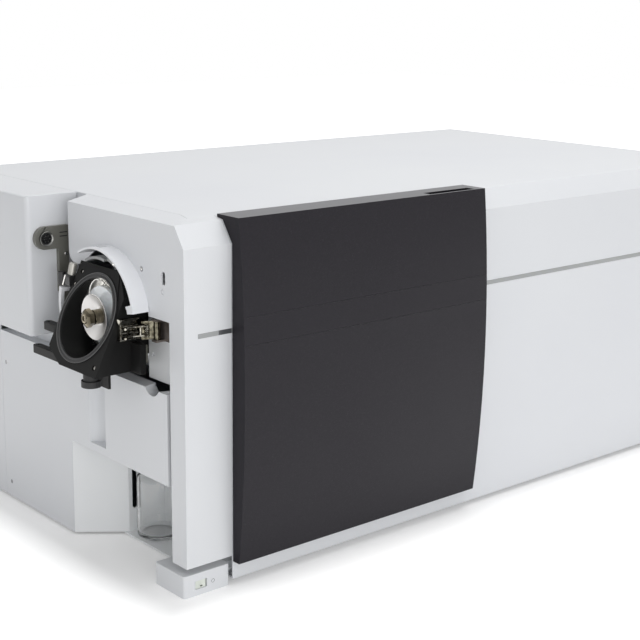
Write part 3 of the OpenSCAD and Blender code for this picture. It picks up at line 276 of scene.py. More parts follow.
def at(points):
    """Points in mm from the casing's front left bottom corner, as metres in the frame."""
    return (np.asarray(points, float) - (595.7715, 354.75, 0.0)) / 1000.0


def piece(name, parts, body, material, instead=()):
    """One object from (points in mm, faces) parts: seams merged, faces turned outwards."""
    points = np.concatenate([np.asarray(p, float).reshape(-1, 3) for p, _ in parts])
    first = np.cumsum([0] + [np.asarray(p).size // 3 for p, _ in parts])
    faces = [[i + start for i in face] for start, (_, part) in zip(first, parts) for face in part]
    mesh = bpy.data.meshes.new(name)
    mesh.from_pydata(at(points).tolist(), [], faces)
    shape = bmesh.new()
    shape.from_mesh(mesh)
    bmesh.ops.remove_doubles(shape, verts=shape.verts, dist=1e-7)
    bmesh.ops.dissolve_degenerate(shape, edges=shape.edges, dist=1e-7)
    bmesh.ops.recalc_face_normals(shape, faces=shape.faces)
    shape.to_mesh(mesh)
    shape.free()
    mesh.polygons.foreach_set("use_smooth", np.ones(len(mesh.polygons), bool))
    mesh.set_sharp_from_angle(angle=math.radians(35.0))
    mesh.materials.append(material)
    made = bpy.data.objects.new(name, mesh)
    bpy.context.scene.collection.objects.link(made)
    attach(made, body)
    if instead:
        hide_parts(*instead)
    return made


def lattice(rows, columns, shut_rows=True, shut_columns=True):
    """Faces over a grid of points, number = row * columns + column, closed either way if asked."""
    i, j = np.meshgrid(
        np.arange(rows if shut_rows else rows - 1),
        np.arange(columns if shut_columns else columns - 1),
    )
    i, j = i.ravel(), j.ravel()
    k, m = (i + 1) % rows, (j + 1) % columns
    corners = (i * columns + j, i * columns + m, k * columns + m, k * columns + j)
    return np.stack(corners, 1).tolist()


def turned(profile, centre, axis=(1, 0, 0), steps=96, close=True):
    """Turned shape: point (a, r) of the profile is centre + a*axis + r*(cos t*u + sin t*v)."""
    profile = np.asarray(profile, float)
    axis = np.asarray(axis, float) / np.linalg.norm(axis)
    u = np.cross(axis, (0.0, 0.0, 1.0) if abs(axis[2]) < 0.9 else (1.0, 0.0, 0.0))
    u /= np.linalg.norm(u)
    v = np.cross(axis, u)
    t = np.linspace(0, 2 * np.pi, steps, endpoint=False)
    ring = np.cos(t)[:, None] * u + np.sin(t)[:, None] * v
    points = np.asarray(centre, float) + profile[:, None, :1] * axis + profile[:, None, 1:] * ring
    return points, lattice(len(profile), steps, close, True)


def slabbed(outline, place, depth):
    """Plate: outline point (a, b) is o + a*u + b*v + c*w with c = 0 and c = depth, sides closed."""
    outline = np.asarray(outline, float)
    n = len(outline)
    flat = np.concatenate([np.c_[outline, np.zeros(n)], np.c_[outline, np.full(n, depth)]])
    o, u, v, w = (np.asarray(a, float) for a in place)
    points = o + flat[:, :1] * u + flat[:, 1:2] * v + flat[:, 2:] * w
    i = np.arange(n)
    sides = np.stack([i, (i + 1) % n, (i + 1) % n + n, i + n], 1).tolist()
    return points, sides + [list(range(n)), list(range(n, 2 * n))]


def rounded(width, height, radius, steps=6):
    """Rectangle outline whose corners are (sx*cx + radius*cos a, sy*cy + radius*sin a)."""
    cx, cy = width / 2 - radius, height / 2 - radius
    arcs = []
    for quarter, (sx, sy) in enumerate(((1, 1), (-1, 1), (-1, -1), (1, -1))):
        a = np.linspace(0, np.pi / 2, steps) + quarter * np.pi / 2
        arcs.append(np.c_[sx * cx + radius * np.cos(a), sy * cy + radius * np.sin(a)])
    return np.concatenate(arcs)


foot_front = 1.0
rocker_at = np.array([26.0, foot_front, 16.5])
bezel_steps = (
    (rounded(21.4, 13.4, 1.2), 0.1),
    (rounded(21.8, 13.8, 1.4), -0.5),
    (rounded(24.0, 16.0, 2.2), -0.5),
    (rounded(24.4, 16.4, 2.4), 0.1),
)
bezel = [rocker_at + np.c_[o[:, 0], np.full(len(o), y), o[:, 1]] for o, y in bezel_steps]
piece(
    "rocker_bezel",
    [(np.stack(bezel), lattice(4, len(bezel[0])))],
    "casing",
    cover_white,
)
print_grey = finish(
    "print_grey", grain, (96, 99, 102), (90, 93, 96), (0.05, 0.00005),
    Size=1500.0, Rough=0.5, Spread=0.1,
)
ring_at = (47.5, foot_front, 16.0)
ring_profile = [(-0.02, 2.5), (0.06, 2.5), (0.06, 3.1), (-0.02, 3.1)]
piece(
    "standby_ring",
    [turned(ring_profile, ring_at, -Y, 48)],
    "casing",
    print_grey,
)
lamp_green = finish(
    "lamp_green", grain, (70, 78, 58), (60, 68, 50), (0.05, 0.0001),
    Size=900.0, Rough=0.15, Spread=0.04, Coat_Weight=0.5,
)
lamp_at = rocker_at + (-1.6, -2.1, -1.4)
piece(
    "rocker_lamp",
    [slabbed(rounded(4.4, 1.8, 0.85), (lamp_at, X, Z, -Y), 0.35)],
    "rocker",
    lamp_green,
)

# Rubber feet: black moulded discs screwed under the tray, dull and slightly pitted.
# They carry the tray 15 mm off the bench.
black_rubber = finish(
    "black_rubber", grain, (30, 30, 31), (36, 36, 37), (0.3, 0.0002),
    Size=700.0, Rough=0.62, Spread=0.16,
)
soften(["rubber_feet"], 1.0, black_rubber)

# Ion source block: a cast aluminium housing, anodised black, whose round mouth takes the
# spray chamber. A drain stub of rubber hangs under it.
block_black = finish(
    "block_black", grain, (32, 32, 32), (27, 27, 27), (0.22, 0.00014),
    Size=1300.0, Rough=0.45, Spread=0.14, Specular_IOR_Level=0.12,
)
soften(["desolvation_block"], 1.0, block_black)
soften(["drain_stub"], 0.4, black_rubber)

# Mouth seal: a moulded rubber ring pressed into a groove round the mouth. A thin paler
# ring at the edge of its lip is a painted highlight.
seal_rubber = finish(
    "seal_rubber", grain, (46, 46, 47), (54, 54, 55), (0.15, 0.0001),
    Size=900.0, Rough=0.34, Spread=0.1,
)
soften(["mouth_seal"], 0.5, seal_rubber)
# Paler grey rubber: a painted highlight along the edge of the lip.
seal_bead = finish(
    "seal_bead", grain, (118, 118, 118), (104, 104, 104), (0.1, 0.0001),
    Size=900.0, Rough=0.3, Spread=0.1,
)
mouth_out = np.array([-0.9033, 0.0, 0.4289])
mouth_at = (-45.0, 186.0, 397.0)
bead_profile = [(1.5, 69.3), (1.75, 69.4), (1.75, 69.95), (1.4, 70.05), (0.9, 69.9)]
piece(
    "seal_edge",
    [turned(bead_profile, mouth_at, mouth_out, 128)],
    "casing",
    seal_bead,
)

# Source shroud: white moulded plastic arc that keeps fingers off the hot block, with a
# grey cam in its window and a lip at its foot. The hinge guard is of the same plastic.
shroud_white = finish(
    "shroud_white", grain, (243, 244, 247), (238, 240, 244), (0.1, 0.0001),
    Size=900.0, Rough=0.36, Spread=0.1,
)
soften(["source_shroud", "hinge_guard"], 0.6, shroud_white)


shroud_y, shroud_z = 186, 400


def around(angles, radii, across, steps=16):
    """Block about the shroud's centre: (x, y - r*cos a, z + r*sin a), with a in degrees."""
    a = np.radians(np.linspace(*angles, steps))
    near, far = radii
    left, right = across
    points = [
        np.c_[np.full(steps, x), shroud_y - r * np.cos(a), shroud_z + r * np.sin(a)]
        for r, x in ((near, left), (far, left), (far, right), (near, right))
    ]
    points, last = np.stack(points, 1), 4 * steps
    return points, lattice(steps, 4, False) + [[0, 1, 2, 3], list(range(last - 4, last))]


window_grey = finish(
    "window_grey", grain, (148, 150, 150), (128, 130, 131), (0.12, 0.0001),
    Size=900.0, Drift=30.0, Rough=0.35,
)
piece(
    "shroud_cam",
    [around((80, 117), (82.0, 86.0), (-22, -8)), around((62, 76), (86.0, 91.0), (-20, -10))],
    "casing",
    window_grey,
)
piece(
    "shroud_foot",
    [around((10.4, 15.3), (86.0, 101.5), (-28.6, -1))],
    "casing",
    shroud_white,
)

# Connector arm: a dark olive grey pressed bracket that carries the source's cable socket.
# The guard's inset and the plate on the block's neck have the same coat.
arm_olive = finish(
    "arm_olive", grain, (120, 120, 116), (108, 107, 98), (0.15, 0.0001),
    Size=1000.0, Rough=0.38, Spread=0.14,
)
soften(["connector_arm"], 0.6, arm_olive)
piece(
    "guard_inset",
    [around((169, 189), (94.6, 95.3), (-27.4, -8.6))],
    "casing",
    arm_olive,
)
piece(
    "neck_plate",
    [slabbed(rounded(11, 28, 1.0), ((19.5, 132.0, 342), X, Z, -Y), 1.6)],
    "casing",
    arm_olive,
)

# Signal socket: black moulded body of the cable socket. Two thin black plates on the arm
# over it are painted shade for two slots. A white plug fills the lower hole of the side plate.
connector_black = finish(
    "connector_black", grain, (32, 32, 33), (38, 38, 39), (0.2, 0.0001),
    Size=1000.0, Rough=0.4, Spread=0.14,
)
soften(["signal_connector"], 0.3, connector_black)
plug_profile = [(2.0, 0.0), (2.0, 3.4), (0.5, 3.4), (0.0, 2.8), (0.0, 0.0)]
piece(
    "hole_plugs",
    [turned(plug_profile, (0.3, 52.0, 453.0), X, 32, close=False)],
    "casing",
    cover_white,
)
# Thin black plates: painted shade for the two slots in the arm.
piece(
    "arm_slots",
    [slabbed(rounded(14, 1.6, 0.7), ((5.0, 332.0, z), X, Z, -Y), 0.15) for z in (500.0, 494.0)],
    "casing",
    connector_black,
)

# Socket shell and pins: a turned grey metal ring pressed into the socket, with six pins
# standing round its middle.
lathe, given = effect(
    "lathe",
    ("Shade", "Color", None),
    ("Centre", "Vector", None),
    ("Across", "Vector", (0.0, 1.0, 1.0)),
    ("Size", "Float", 3000.0),
    ("Rough", "Float", 0.2),
    ("Spread", "Float", 0.12),
    # Share of the painted highlight; 0 leaves the colour as it is
    ("Streak", "Float", 0.0),
)


def vector(tree, operation, *inputs):
    """Output of a vector operation."""
    return add(tree, "VectorMath", dict(enumerate(inputs)), operation=operation).outputs


# Tool marks follow the distance from the turning axis plus the place along it
arm = vector(lathe, "SUBTRACT", given["Vector"], given["Centre"])[0]
flat = vector(lathe, "MULTIPLY", arm, given["Across"])[0]
along = vector(lathe, "SUBTRACT", arm, flat)[0]
reach = vector(lathe, "LENGTH", flat)["Value"]
deep = vector(lathe, "DOT_PRODUCT", along, (1.0, 1.0, 1.0))["Value"]
track = add(lathe, "Math", {0: reach, 1: deep}, operation="ADD").outputs[0]
cuts = add(
    lathe,
    "TexNoise",
    {"W": track, "Scale": given["Size"], "Detail": 3.0},
    noise_dimensions="1D",
).outputs["Fac"]
stain = add(lathe, "TexNoise", {"Vector": given["Vector"], "Scale": 60.0, "Detail": 4.0})
tarnish = add(
    lathe, "MapRange", {"Value": stain.outputs["Fac"], "From Min": 0.35, "From Max": 0.7}
)
metal = mixed(lathe, tarnish.outputs["Result"], given["Colour"], given["Shade"])
# Painted highlight: the colour is scaled by 1 + s * (z^4 - 1), with s the group's highlight
# input and z the height of the spoke, so bands above and below the axis stay brighter
spoke = add(lathe, "SeparateXYZ", {0: vector(lathe, "NORMALIZE", flat)[0]}).outputs["Z"]
painted_highlight = add(lathe, "Math", {0: spoke, 1: 4.0}, operation="POWER").outputs[0]
painted_highlight = add(lathe, "Math", {0: painted_highlight, 1: 1.0}, operation="SUBTRACT").outputs[0]
painted_highlight = add(
    lathe, "Math", {0: painted_highlight, 1: given["Streak"], 2: 1.0}, operation="MULTIPLY_ADD"
).outputs[0]
metal = add(lathe, "VectorMath", {0: metal, "Scale": painted_highlight}, operation="SCALE").outputs[0]
give(lathe, given, metal, cuts, 0.5, cuts)


def bar(path, radius, sides=12):
    """Round bar along a path: point p + radius*(cos t*u + sin t*v), with u and v square to it."""
    path = np.asarray(path, float)
    along = np.gradient(path, axis=0)
    along /= np.linalg.norm(along, axis=1)[:, None]
    u = np.cross(along, (0.31, 0.52, 0.79))
    u /= np.linalg.norm(u, axis=1)[:, None]
    v = np.cross(along, u)
    t = np.linspace(0, 2 * np.pi, sides, endpoint=False)
    ring = u[:, None] * np.cos(t)[:, None] + v[:, None] * np.sin(t)[:, None]
    radius = np.broadcast_to(np.reshape(radius, (-1, 1, 1)), (len(path), 1, 1))
    ends = [list(range(sides)), list(range((len(path) - 1) * sides, len(path) * sides))]
    return path[:, None] + radius * ring, lattice(len(path), sides, False) + ends


socket_at = np.array([-27.0, 328.0, 493.0])
socket_shell = finish(
    "socket_shell", lathe, (128, 128, 126), (108, 108, 104), (0.1, 0.00005),
    Centre=tuple(at(socket_at)), Rough=0.3, Metallic=0.9,
)
shell_profile = [(0.0, 11.6), (-1.0, 11.6), (-1.6, 11.0), (-0.6, 9.0), (0.0, 8.8)]
piece(
    "socket_ring",
    [turned(shell_profile, socket_at, Y, 64)],
    "casing",
    socket_shell,
)
piece(
    "socket_pins",
    [
        bar([socket_at + (5 * np.cos(a), y, 5 * np.sin(a)) for y in (0.2, -1.3)], [0.9, 0.7], 10)
        for a in np.radians(np.arange(0, 360, 60))
    ],
    "casing",
    socket_shell,
)

# Screws of the source: turned and polished stainless heads, dished on the block's flange
# and domed on the arm, the block and the side plate.
ion_axis = np.array([0.0, 186.0, 396.0])
ion_centre = tuple(at(ion_axis))
polished_steel = finish(
    "polished_steel", lathe, (222, 221, 219), (214, 212, 208), (0.35, 0.00006),
    Centre=ion_centre, Rough=0.22, Metallic=1.0, Anisotropic=0.6,
)
flange_sink = 3.2
dished_head = [(1.2, 2.5), (0.6, 2.8), (-0.8, 2.4), (-0.8, 1.5), (0.0, 1.4), (0.0, 0.0)]
flange_spots = [(-72.9, 124.0, 338.3), (-17.6, 241.0, 454.8), (-26.6, 250.0, 435.8)]
piece(
    "flange_screws",
    [
        turned(dished_head, spot - flange_sink * mouth_out, mouth_out, 28, close=False)
        for spot in flange_spots
    ],
    "casing",
    polished_steel,
)
domed_head = [(0.0, 0.0), (0.0, 2.6), (1.0, 2.4), (1.6, 1.6), (1.8, 0.0)]
piece(
    "small_screws",
    [
        turned(domed_head, spot, way, 24, close=False)
        for spot, way in (
            ((8.0, 332.0, 466.0), -Y),
            ((-20.0, 148.0, 481.0), -X),
            ((0.6, 106.0, 478.0), -X),
        )
    ],
    "casing",
    polished_steel,
)

# Spray dish: spun stainless shield with a satin finish. Its face falls as the power 1.6
# of the radius, its rim is rolled, and the fine grooves run round the ion axis. Its colour
# is painted brighter above and below the axis, a painted highlight.
satin_steel = finish(
    "satin_steel", lathe, (246, 244, 242), (240, 238, 236), (0.08, 0.00003),
    Centre=ion_centre, Rough=0.38, Spread=0.06, Streak=0.34, Metallic=0.85, Anisotropic=0.6,
)
tree = satin_steel.node_tree
groove = add(tree, "Tangent", direction_type="RADIAL", axis="X")
tree.links.new(groove.outputs[0], tree.nodes["Principled BSDF"].inputs["Tangent"])
dish_x, dish_deep, dish_bore, dish_r, dish_sheet = -33.0, 11.0, 11.5, 34.5, 1.6
run = np.linspace(0, 1, 20)
dish_face = np.c_[dish_x + dish_deep * (1 - run**1.6), dish_bore + (dish_r - dish_bore) * run]
rim = np.linspace(0, np.pi, 9)[1:]
dish_edge = np.c_[dish_x + 0.8 - 0.8 * np.cos(rim), dish_r + 0.5 * np.sin(rim) - 0.1]
dish_back = dish_face[::-1] + (dish_sheet, 0.0)
piece(
    "spray_dish",
    [turned(np.concatenate([dish_face, dish_edge, dish_back]), ion_axis, steps=128)],
    "casing",
    satin_steel,
    ["spray_shield"],
)

# Capillary nose: a turned bronze-coloured cap with a hexagon for the spanner, a groove and
# a plain barrel, screwed over the glass capillary through the dish.
# The colour is painted brighter above and below the axis, a painted highlight on the barrel.
bronze_metal = finish(
    "bronze_metal", lathe, (150, 142, 124), (104, 96, 78), (0.08, 0.00003),
    Centre=ion_centre, Rough=0.08, Spread=0.06, Streak=0.6, Metallic=1.0,
)
nose_profile = [
    (-45.0, 1.7), (-46.0, 3.6), (-49.6, 3.8), (-50.0, 4.2), (-50.0, 6.6), (-49.5, 7.2),
    (-47.6, 8.4), (-38.0, 11.0), (-37.8, 9.0), (-35.2, 9.0), (-34.9, 10.9), (-34.2, 11.4),
    (-29.5, 11.4), (-29.2, 11.0), (-28.6, 11.0), (-28.3, 11.4), (-21.0, 11.4), (-21.0, 1.7),
]
hex_turn = 22
hexagon = np.radians(np.arange(0, 360, 60) + hex_turn)
hex_ring = np.c_[np.zeros(6), np.cos(hexagon), np.sin(hexagon)]
hex_steps = [(-48.6, 8.6), (-46.2, 14.4), (-38.6, 14.4), (-37.6, 13.0)]
hex_points = [ion_axis + x * X + r * hex_ring for x, r in hex_steps]
piece(
    "capillary_nose",
    [
        turned(nose_profile, ion_axis, steps=72),
        (hex_points, lattice(4, 6, False) + [list(range(6)), list(range(18, 24))]),
    ],
    "casing",
    bronze_metal,
    ["capillary_cap"],
)

# Insulator disc: a thick pressed ceramic ring, glazed, so light sinks a little way into
# it. It stands between the dish and the end plate.
ceramic_pale = finish(
    "ceramic_pale", grain, (246, 251, 254), (240, 247, 252), (0.06, 0.0001),
    Size=300.0, Drift=20.0, Rough=0.22,
    Coat_Weight=0.4, Subsurface_Weight=0.15, Subsurface_Radius=(0.01, 0.012, 0.014),
)
soften(["ceramic_disc"], 0.8, ceramic_pale)

# End plate: a turned and polished steel plate with a warm tint behind the disc. A bent
# spring wire joins the dish to its terminal, and two heater wires cross there.
plate_cream = finish(
    "plate_cream", lathe, (232, 231, 226), (222, 220, 214), (0.2, 0.00005),
    Centre=ion_centre, Rough=0.3, Metallic=1.0,
)
soften(["end_plate"], 0.4, plate_cream)


def curve(points, count=24):
    """Smooth path through the points: each coordinate is a cubic fitted to the running length."""
    points = np.asarray(points, float)
    run = np.concatenate([[0.0], np.cumsum(np.linalg.norm(np.diff(points, axis=0), axis=1))])
    s = np.linspace(0, run[-1], count)
    order = min(3, len(points) - 1)
    return np.stack([np.polyval(np.polyfit(run, points[:, k], order), s) for k in range(3)], 1)


spring_run = [
    (-24, 211, 423), (-21, 214.5, 432.5), (-19.5, 208.8, 442), (-18.5, 199, 450), (-17, 192, 449)
]
piece(
    "terminal_spring",
    [bar(curve(spring_run, 40), 1.1)],
    "casing",
    polished_steel,
)
wire_steel = finish(
    "wire_steel", lathe, (150, 146, 138), (130, 126, 118), (0.1, 0.00005),
    Centre=ion_centre, Rough=0.3, Metallic=1.0,
)
wire_r = 0.6
piece(
    "heater_wires",
    [
        bar([(-13.5, 192, 449), (-14, 183, 445.5), (-13.5, 171, 441)], wire_r, 10),
        bar([(-13.5, 174.5, 454), (-14.8, 184, 445), (-13.5, 196, 434)], wire_r, 10),
    ],
    "casing",
    wire_steel,
)

# Latch: nickel-plated pressings with an uneven warm bright plate. The base is duller, and
# the lever swings on its pin and draws the spray chamber shut.
nickel, given = effect(
    "nickel",
    ("Shade", "Color", None),
    ("Size", "Float", 90.0),
    ("Rough", "Float", 0.12),
    ("Spread", "Float", 0.14),
)
ripple = add(
    nickel, "TexNoise", {"Vector": given["Vector"], "Scale": given["Size"], "Detail": 3.0}
).outputs["Fac"]
toned = add(nickel, "MapRange", {"Value": ripple, "From Min": 0.38, "From Max": 0.62})
warm = mixed(nickel, toned.outputs["Result"], given["Colour"], given["Shade"])
give(nickel, given, warm, ripple, 0.5, ripple)
latch_nickel = finish(
    "latch_nickel", nickel, (176, 173, 163), (100, 95, 84), (0.7, 0.001), Size=130.0, Metallic=1.0
)
soften(["latch_pin", "latch_keeper"], 0.35, latch_nickel)
lever_nickel = finish(
    "lever_nickel", nickel, (116, 112, 98), (52, 48, 38), (0.7, 0.001), Size=160.0, Metallic=1.0
)
soften(["latch_lever"], 0.35, lever_nickel)
base_nickel = finish(
    "base_nickel", nickel, (148, 139, 133), (114, 105, 100), (0.2, 0.0006),
    Size=60.0, Rough=0.34, Metallic=0.5,
)
soften(["latch_base"], 0.35, base_nickel)

# Latch hooks and coil: two bent round rods joined by a short bar reach for the keeper,
# and a coiled return spring sits round the pin. They swing with the lever.
hook_low, hook_high = 381.5, 395.5
hook_run = [
    (-3.0, 95.0), (-10.0, 97.6), (-22.0, 99.4), (-31.0, 99.4), (-35.5, 98.2), (-37.0, 95.8),
    (-35.4, 94.0),
]
hook_mid = (hook_low + hook_high) / 2
hook_bar = [(-9.0, 97.3, hook_low), (-9.5, 96.0, hook_mid), (-9.0, 97.3, hook_high)]
piece(
    "latch_hooks",
    [
        bar(curve([(x, y, z) for x, y in hook_run], 36), 1.7, 14)
        for z in (hook_low, hook_high)
    ]
    + [bar(hook_bar, 1.5, 14)],
    "latch_lever",
    latch_nickel,
)
coil_r, coil_y, coil_low, coil_rise = 3.4, 93.5, 379.0, 18.0 / 44
coil = np.linspace(0, 2 * np.pi * 7, 170)
coil_run = np.c_[coil_r * np.cos(coil), coil_y + coil_r * np.sin(coil), coil_low + coil_rise * coil]
piece(
    "latch_coil",
    [bar(coil_run, 0.7, 8)],
    "latch_lever",
    latch_nickel,
)

# Gas fitting: a knurled grey metal nut, turned, that leans a little on its foot. The
# knurl is a radius that goes in and out along the nut.
fitting_grey = finish(
    "fitting_grey", grain, (186, 184, 178), (150, 148, 142), (0.15, 0.0001),
    Size=900.0, Drift=40.0, Rough=0.35, Metallic=0.6,
)
nut_lean = np.array([0.17, -0.12, 0.98])
nut_foot = np.array([-22.0, 266.0, 445.0])
knurl = np.c_[np.linspace(0.8, 19.2, 12), np.tile([6.5, 6.1], 6)]
nut_profile = np.r_[[(0.0, 1.6), (0.0, 6.0)], knurl, [(20.0, 5.4), (20.0, 1.6)]]
piece(
    "gas_nut",
    [turned(nut_profile, nut_foot, nut_lean, 48)],
    "casing",
    fitting_grey,
    ["gas_fitting"],
)

# Gas valve: a black moulded foot with a collar for the nut and a round knob, on the
# block's far side, and the bright turned spindle of its tap.
collar_profile = [(0, 1), (0, 8), (3.4, 8.4), (4.4, 7.6), (4.4, 1)]
piece(
    "gas_valve_foot",
    [
        slabbed(rounded(22, 17, 2.5), ((-19, 258, 437.5), X, Z, Y), 28.0),
        turned(collar_profile, nut_foot - 2.8 * nut_lean, nut_lean, 40),
        bar([(-28, 284, 430), (-28, 284, 449)], 6.0, 24),
    ],
    "casing",
    connector_black,
)
piece(
    "tap_spindle",
    [bar([(-31, 276, 430), (-29.5, 270, 446)], 1.5, 16)],
    "casing",
    polished_steel,
)

# Drain bottle: clear borosilicate glass, blown, with a thick base and a beaded neck. It
# stands loose on the niche's floor. Light for shadows passes straight through it.
bottle_glass = bpy.data.materials.new("bottle_glass")
bottle_glass.use_nodes = True
tree = bottle_glass.node_tree
clear = tree.nodes["Principled BSDF"]
place = add(tree, "TexCoord").outputs["Object"]
wave = add(tree, "TexNoise", {"Vector": place, "Scale": 40.0, "Detail": 2.0})
lift = add(tree, "Bump", {"Height": wave.outputs["Fac"], "Strength": 0.15, "Distance": 0.001})
tree.links.new(lift.outputs["Normal"], clear.inputs["Normal"])
clear.inputs["Base Color"].default_value = (1.0, 1.0, 1.0, 1.0)
clear.inputs["Roughness"].default_value = 0.02
clear.inputs["IOR"].default_value = 1.47
clear.inputs["Transmission Weight"].default_value = 1.0
shadow = add(tree, "LightPath").outputs["Is Shadow Ray"]
air = add(tree, "BsdfTransparent", {"Color": (0.97, 0.98, 0.98, 1.0)})
through = add(tree, "MixShader", {0: shadow, 1: clear.outputs[0], 2: air.outputs[0]})
tree.links.new(through.outputs[0], tree.nodes["Material Output"].inputs["Surface"])


def arc(centre, radius, start, end, steps=8):
    """Part circle of a profile: (ca + radius*sin t, cr + radius*cos t), t in degrees."""
    t = np.radians(np.linspace(start, end, steps))
    return np.c_[centre[0] + radius * np.sin(t), centre[1] + radius * np.cos(t)]


bottle_out = [
    [(0.0, 0.0), (0.6, 20.0), (0.0, 26.0)],
    arc((5, 30), 5, -90, 0),
    arc((94, 21), 14, 0, 78, 10),
    [(110.0, 15.2), (114.0, 14.4), (118.0, 14.4), (119.0, 15.4), (121.5, 15.4), (122.5, 14.4),
     (131.0, 14.4), (131.8, 14.0)],
]
bottle_in = [
    [(131.8, 12.8), (112.0, 12.6)],
    arc((94, 19.6), 12, 72, 0, 10),
    arc((10, 26.6), 5, 0, -80),
    [(5.2, 20.0), (5.8, 0.0)],
]
piece(
    "clear_bottle",
    [turned(np.concatenate(bottle_out + bottle_in), (102, 224, 5.2), Z, close=False)],
    "casing",
    bottle_glass,
    ["drain_bottle"],
)

# Screws of the covers: zinc-plated steel socket heads sunk in the side and rear panels,
# turned and dull.
screw_steel = finish(
    "screw_steel", lathe, (150, 150, 152), (130, 130, 133), (0.1, 0.00005),
    Centre=ion_centre, Rough=0.35, Metallic=1.0,
)
soften(["cover_screws"], 0.3, screw_steel)

# Chassis frame: angle bars of steel, welded, in a slate grey paint.
# It carries every cover and the vacuum chamber.
frame_paint = finish(
    "frame_paint", grain, (112, 118, 126), (104, 110, 118), (0.2, 0.00012),
    Size=1000.0, Rough=0.5, Spread=0.14,
)
soften(["chassis_frame"], 0.4, frame_paint)

# Tray, shelf and supply cases: zinc-plated sheet steel, punched and folded, with a soft
# uneven shine.
plated_steel = finish(
    "plated_steel", nickel, (196, 198, 200), (176, 178, 181), (0.1, 0.0003),
    Size=40.0, Rough=0.36, Metallic=1.0,
)
soften(["base_tray", "electronics_shelf", "radio_supplies", "power_supply"], 0.5, plated_steel)

# Vacuum chamber and pumps: milled and turned aluminium with a dull bright surface. The
# lid's seal is a black rubber cord in a groove.
milled = finish(
    "machined_aluminium", nickel, (206, 208, 211), (190, 192, 196), (0.1, 0.0002),
    Size=120.0, Rough=0.3, Metallic=1.0,
)
soften(
    ["vacuum_manifold", "manifold_lid", "skimmer", "collision_cell", "ion_detector",
     "pump_housings", "foreline_pipe"],
    0.8,
    milled,
)
soften(["pump_rotor_front", "pump_rotor_rear"], 0.2, milled)
soften(["lid_seal"], 0.3, black_rubber)

# Fans and mains inlet: black moulded plastic, the same as the socket's. Frames and wheels
# are thin mouldings with small edges.
soften(["fan_frames", "fan_wheel_inner", "fan_wheel_outer"], 0.4, connector_black)
soften(["mains_inlet"], 0.5, connector_black)

# Ion guides and quadrupoles: ground rods with a gold plate, held in rings and collars of
# ivory insulator.
gold = finish(
    "gold_rods", nickel, (236, 202, 132), (226, 190, 118), (0.05, 0.0002),
    Size=60.0, Rough=0.16, Metallic=1.0,
)
soften(["ion_guide_rods", "quadrupole_rods"], 0.3, gold)
ivory = finish(
    "insulator_ivory", grain, (238, 232, 214), (232, 225, 205), (0.05, 0.0001),
    Size=400.0, Rough=0.25, Spread=0.08,
)
soften(["ion_guide_rings", "quadrupole_collars"], 0.4, ivory)

# Capillary tube: drawn glass with metal-coated ends, so it looks pale and shiny and isn't
# seen through.
tube_glass = finish(
    "tube_glass", grain, (222, 224, 226), (214, 217, 220), (0.03, 0.0001),
    Size=400.0, Rough=0.15, Spread=0.05,
)
soften(["capillary_tube"], 0.2, tube_glass)

# Main board: a green laminate with a smooth lacquer over its parts, cut and drilled
# before it is fitted.
board_green = finish(
    "board_green", grain, (38, 96, 62), (30, 84, 54), (0.1, 0.0001),
    Size=500.0, Rough=0.3, Spread=0.1,
)
soften(["main_board"], 0.3, board_green)

# Gas ports: turned brass bulkhead fittings in the rear panel, with bright uneven metal.
# Their hexagons and bores come from the CAD.
brass = finish(
    "brass_ports", nickel, (214, 184, 112), (196, 164, 94), (0.1, 0.0002),
    Size=80.0, Rough=0.22, Metallic=1.0,
)
soften(["gas_ports"], 0.4, brass)


# Room: an even white room. Shiny parts see it darker near the floor and brighter above,
# and the camera and clear glass see it plain white.
def sees(tree, *kinds):
    """1 for rays of any of these kinds, else 0."""
    rays = add(tree, "LightPath").outputs
    share = rays[kinds[0]]
    for kind in kinds[1:]:
        share = add(tree, "Math", {0: share, 1: rays[kind]}, operation="MAXIMUM").outputs[0]
    return share


world = bpy.data.worlds.new("room")
bpy.context.scene.world = world
world.use_nodes = True
tree = world.node_tree
room = tree.nodes["Background"]
room.inputs["Color"].default_value = (1.0, 1.0, 1.0, 1.0)
height = add(tree, "SeparateXYZ", {0: add(tree, "TexCoord").outputs["Generated"]}).outputs["Z"]
wall = add(
    tree,
    "MapRange",
    {"Value": height, "From Min": 0.0, "From Max": 0.7, "To Min": 0.5, "To Max": 1.1},
).outputs["Result"]
plain = sees(tree, "Is Camera Ray", "Is Transmission Ray")
direct = sees(tree, "Is Camera Ray", "Is Glossy Ray", "Is Transmission Ray")
mirrored = add(tree, "Mix", {0: plain, 2: wall, 3: 1.0}).outputs[0]
room_light = 0.49
power = add(tree, "Mix", {0: direct, 2: room_light, 3: mirrored})
tree.links.new(power.outputs[0], room.inputs["Strength"])

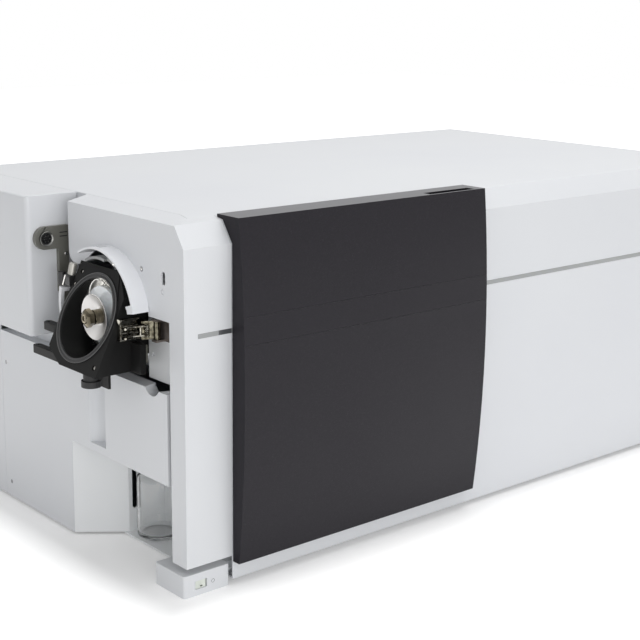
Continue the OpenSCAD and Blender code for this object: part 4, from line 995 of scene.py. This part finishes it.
# Floor: a matt white sweep that shines white to the camera. The shine fades in from the
# part's footprint outwards, so the shadow round the part stays.
floor_mesh = bpy.data.meshes.new("floor")
spread = 9
corners = [(x * spread, y * spread, 0) for x, y in ((-1, -1), (1, -1), (1, 1), (-1, 1))]
floor_mesh.from_pydata(corners, [], [(0, 1, 2, 3)])
floor = bpy.data.objects.new("floor", floor_mesh)
bpy.context.scene.collection.objects.link(floor)
sweep = bpy.data.materials.new("sweep")
sweep.use_nodes = True
tree = sweep.node_tree
cloth = tree.nodes["Principled BSDF"].inputs
place = add(tree, "TexCoord").outputs["Object"]
mottle = add(tree, "TexNoise", {"Vector": place, "Scale": 6.0, "Detail": 2.0})
pale = add(tree, "MapRange", {"Value": mottle.outputs["Fac"], "To Min": 0.9, "To Max": 0.92})
white = add(tree, "CombineColor", {i: pale.outputs[0] for i in range(3)})
tree.links.new(white.outputs[0], cloth["Base Color"])
cloth["Roughness"].default_value = 0.9
cloth["Specular IOR Level"].default_value = 0.1
footprint, fade = (0.63, 0.37, 0.0), 0.13
beyond = vector(tree, "SUBTRACT", vector(tree, "ABSOLUTE", place)[0], footprint)[0]
away = vector(tree, "LENGTH", vector(tree, "MAXIMUM", beyond, (0.0, 0.0, 0.0))[0])["Value"]
shine = add(
    tree, "MapRange", {"Value": away, "From Min": 0.0, "From Max": fade, "To Min": 0.2}
).outputs[0]
direct = sees(tree, "Is Camera Ray", "Is Glossy Ray", "Is Transmission Ray")
glow = add(tree, "Math", {0: direct, 1: shine}, operation="MULTIPLY")
tree.links.new(glow.outputs[0], cloth["Emission Strength"])
cloth["Emission Color"].default_value = (1.0, 1.0, 1.0, 1.0)
floor_mesh.materials.append(sweep)


# Lamps: three broad soft boxes, one overhead, one in front, and one low at the left that
# lights the source and the niche.
def lamp(name, place, aim, size, power):
    """A broad soft lamp at a place, facing its aim, with its size in metres and power in watts."""
    light = bpy.data.lights.new(name, "AREA")
    light.shape = "RECTANGLE"
    light.size, light.size_y = size
    light.energy = power
    made = bpy.data.objects.new(name, light)
    bpy.context.scene.collection.objects.link(made)
    back = np.subtract(place, aim)
    back /= np.linalg.norm(back)
    side = np.cross(Z, back)
    side /= np.linalg.norm(side)
    made.matrix_world = stood(side, np.cross(back, side), back, place)


lamp("overhead", (0.5, -0.4, 3.2), (0.1, 0.0, 0.2), (3.0, 2.4), 42.0)
lamp("front", (-0.4, -3.6, 1.2), (0.0, 0.0, 0.3), (3.0, 2.2), 15.0)
lamp("low_left", (-2.1, -3.2, 0.6), (-0.4, -0.2, 0.15), (1.6, 1.0), 18.0)
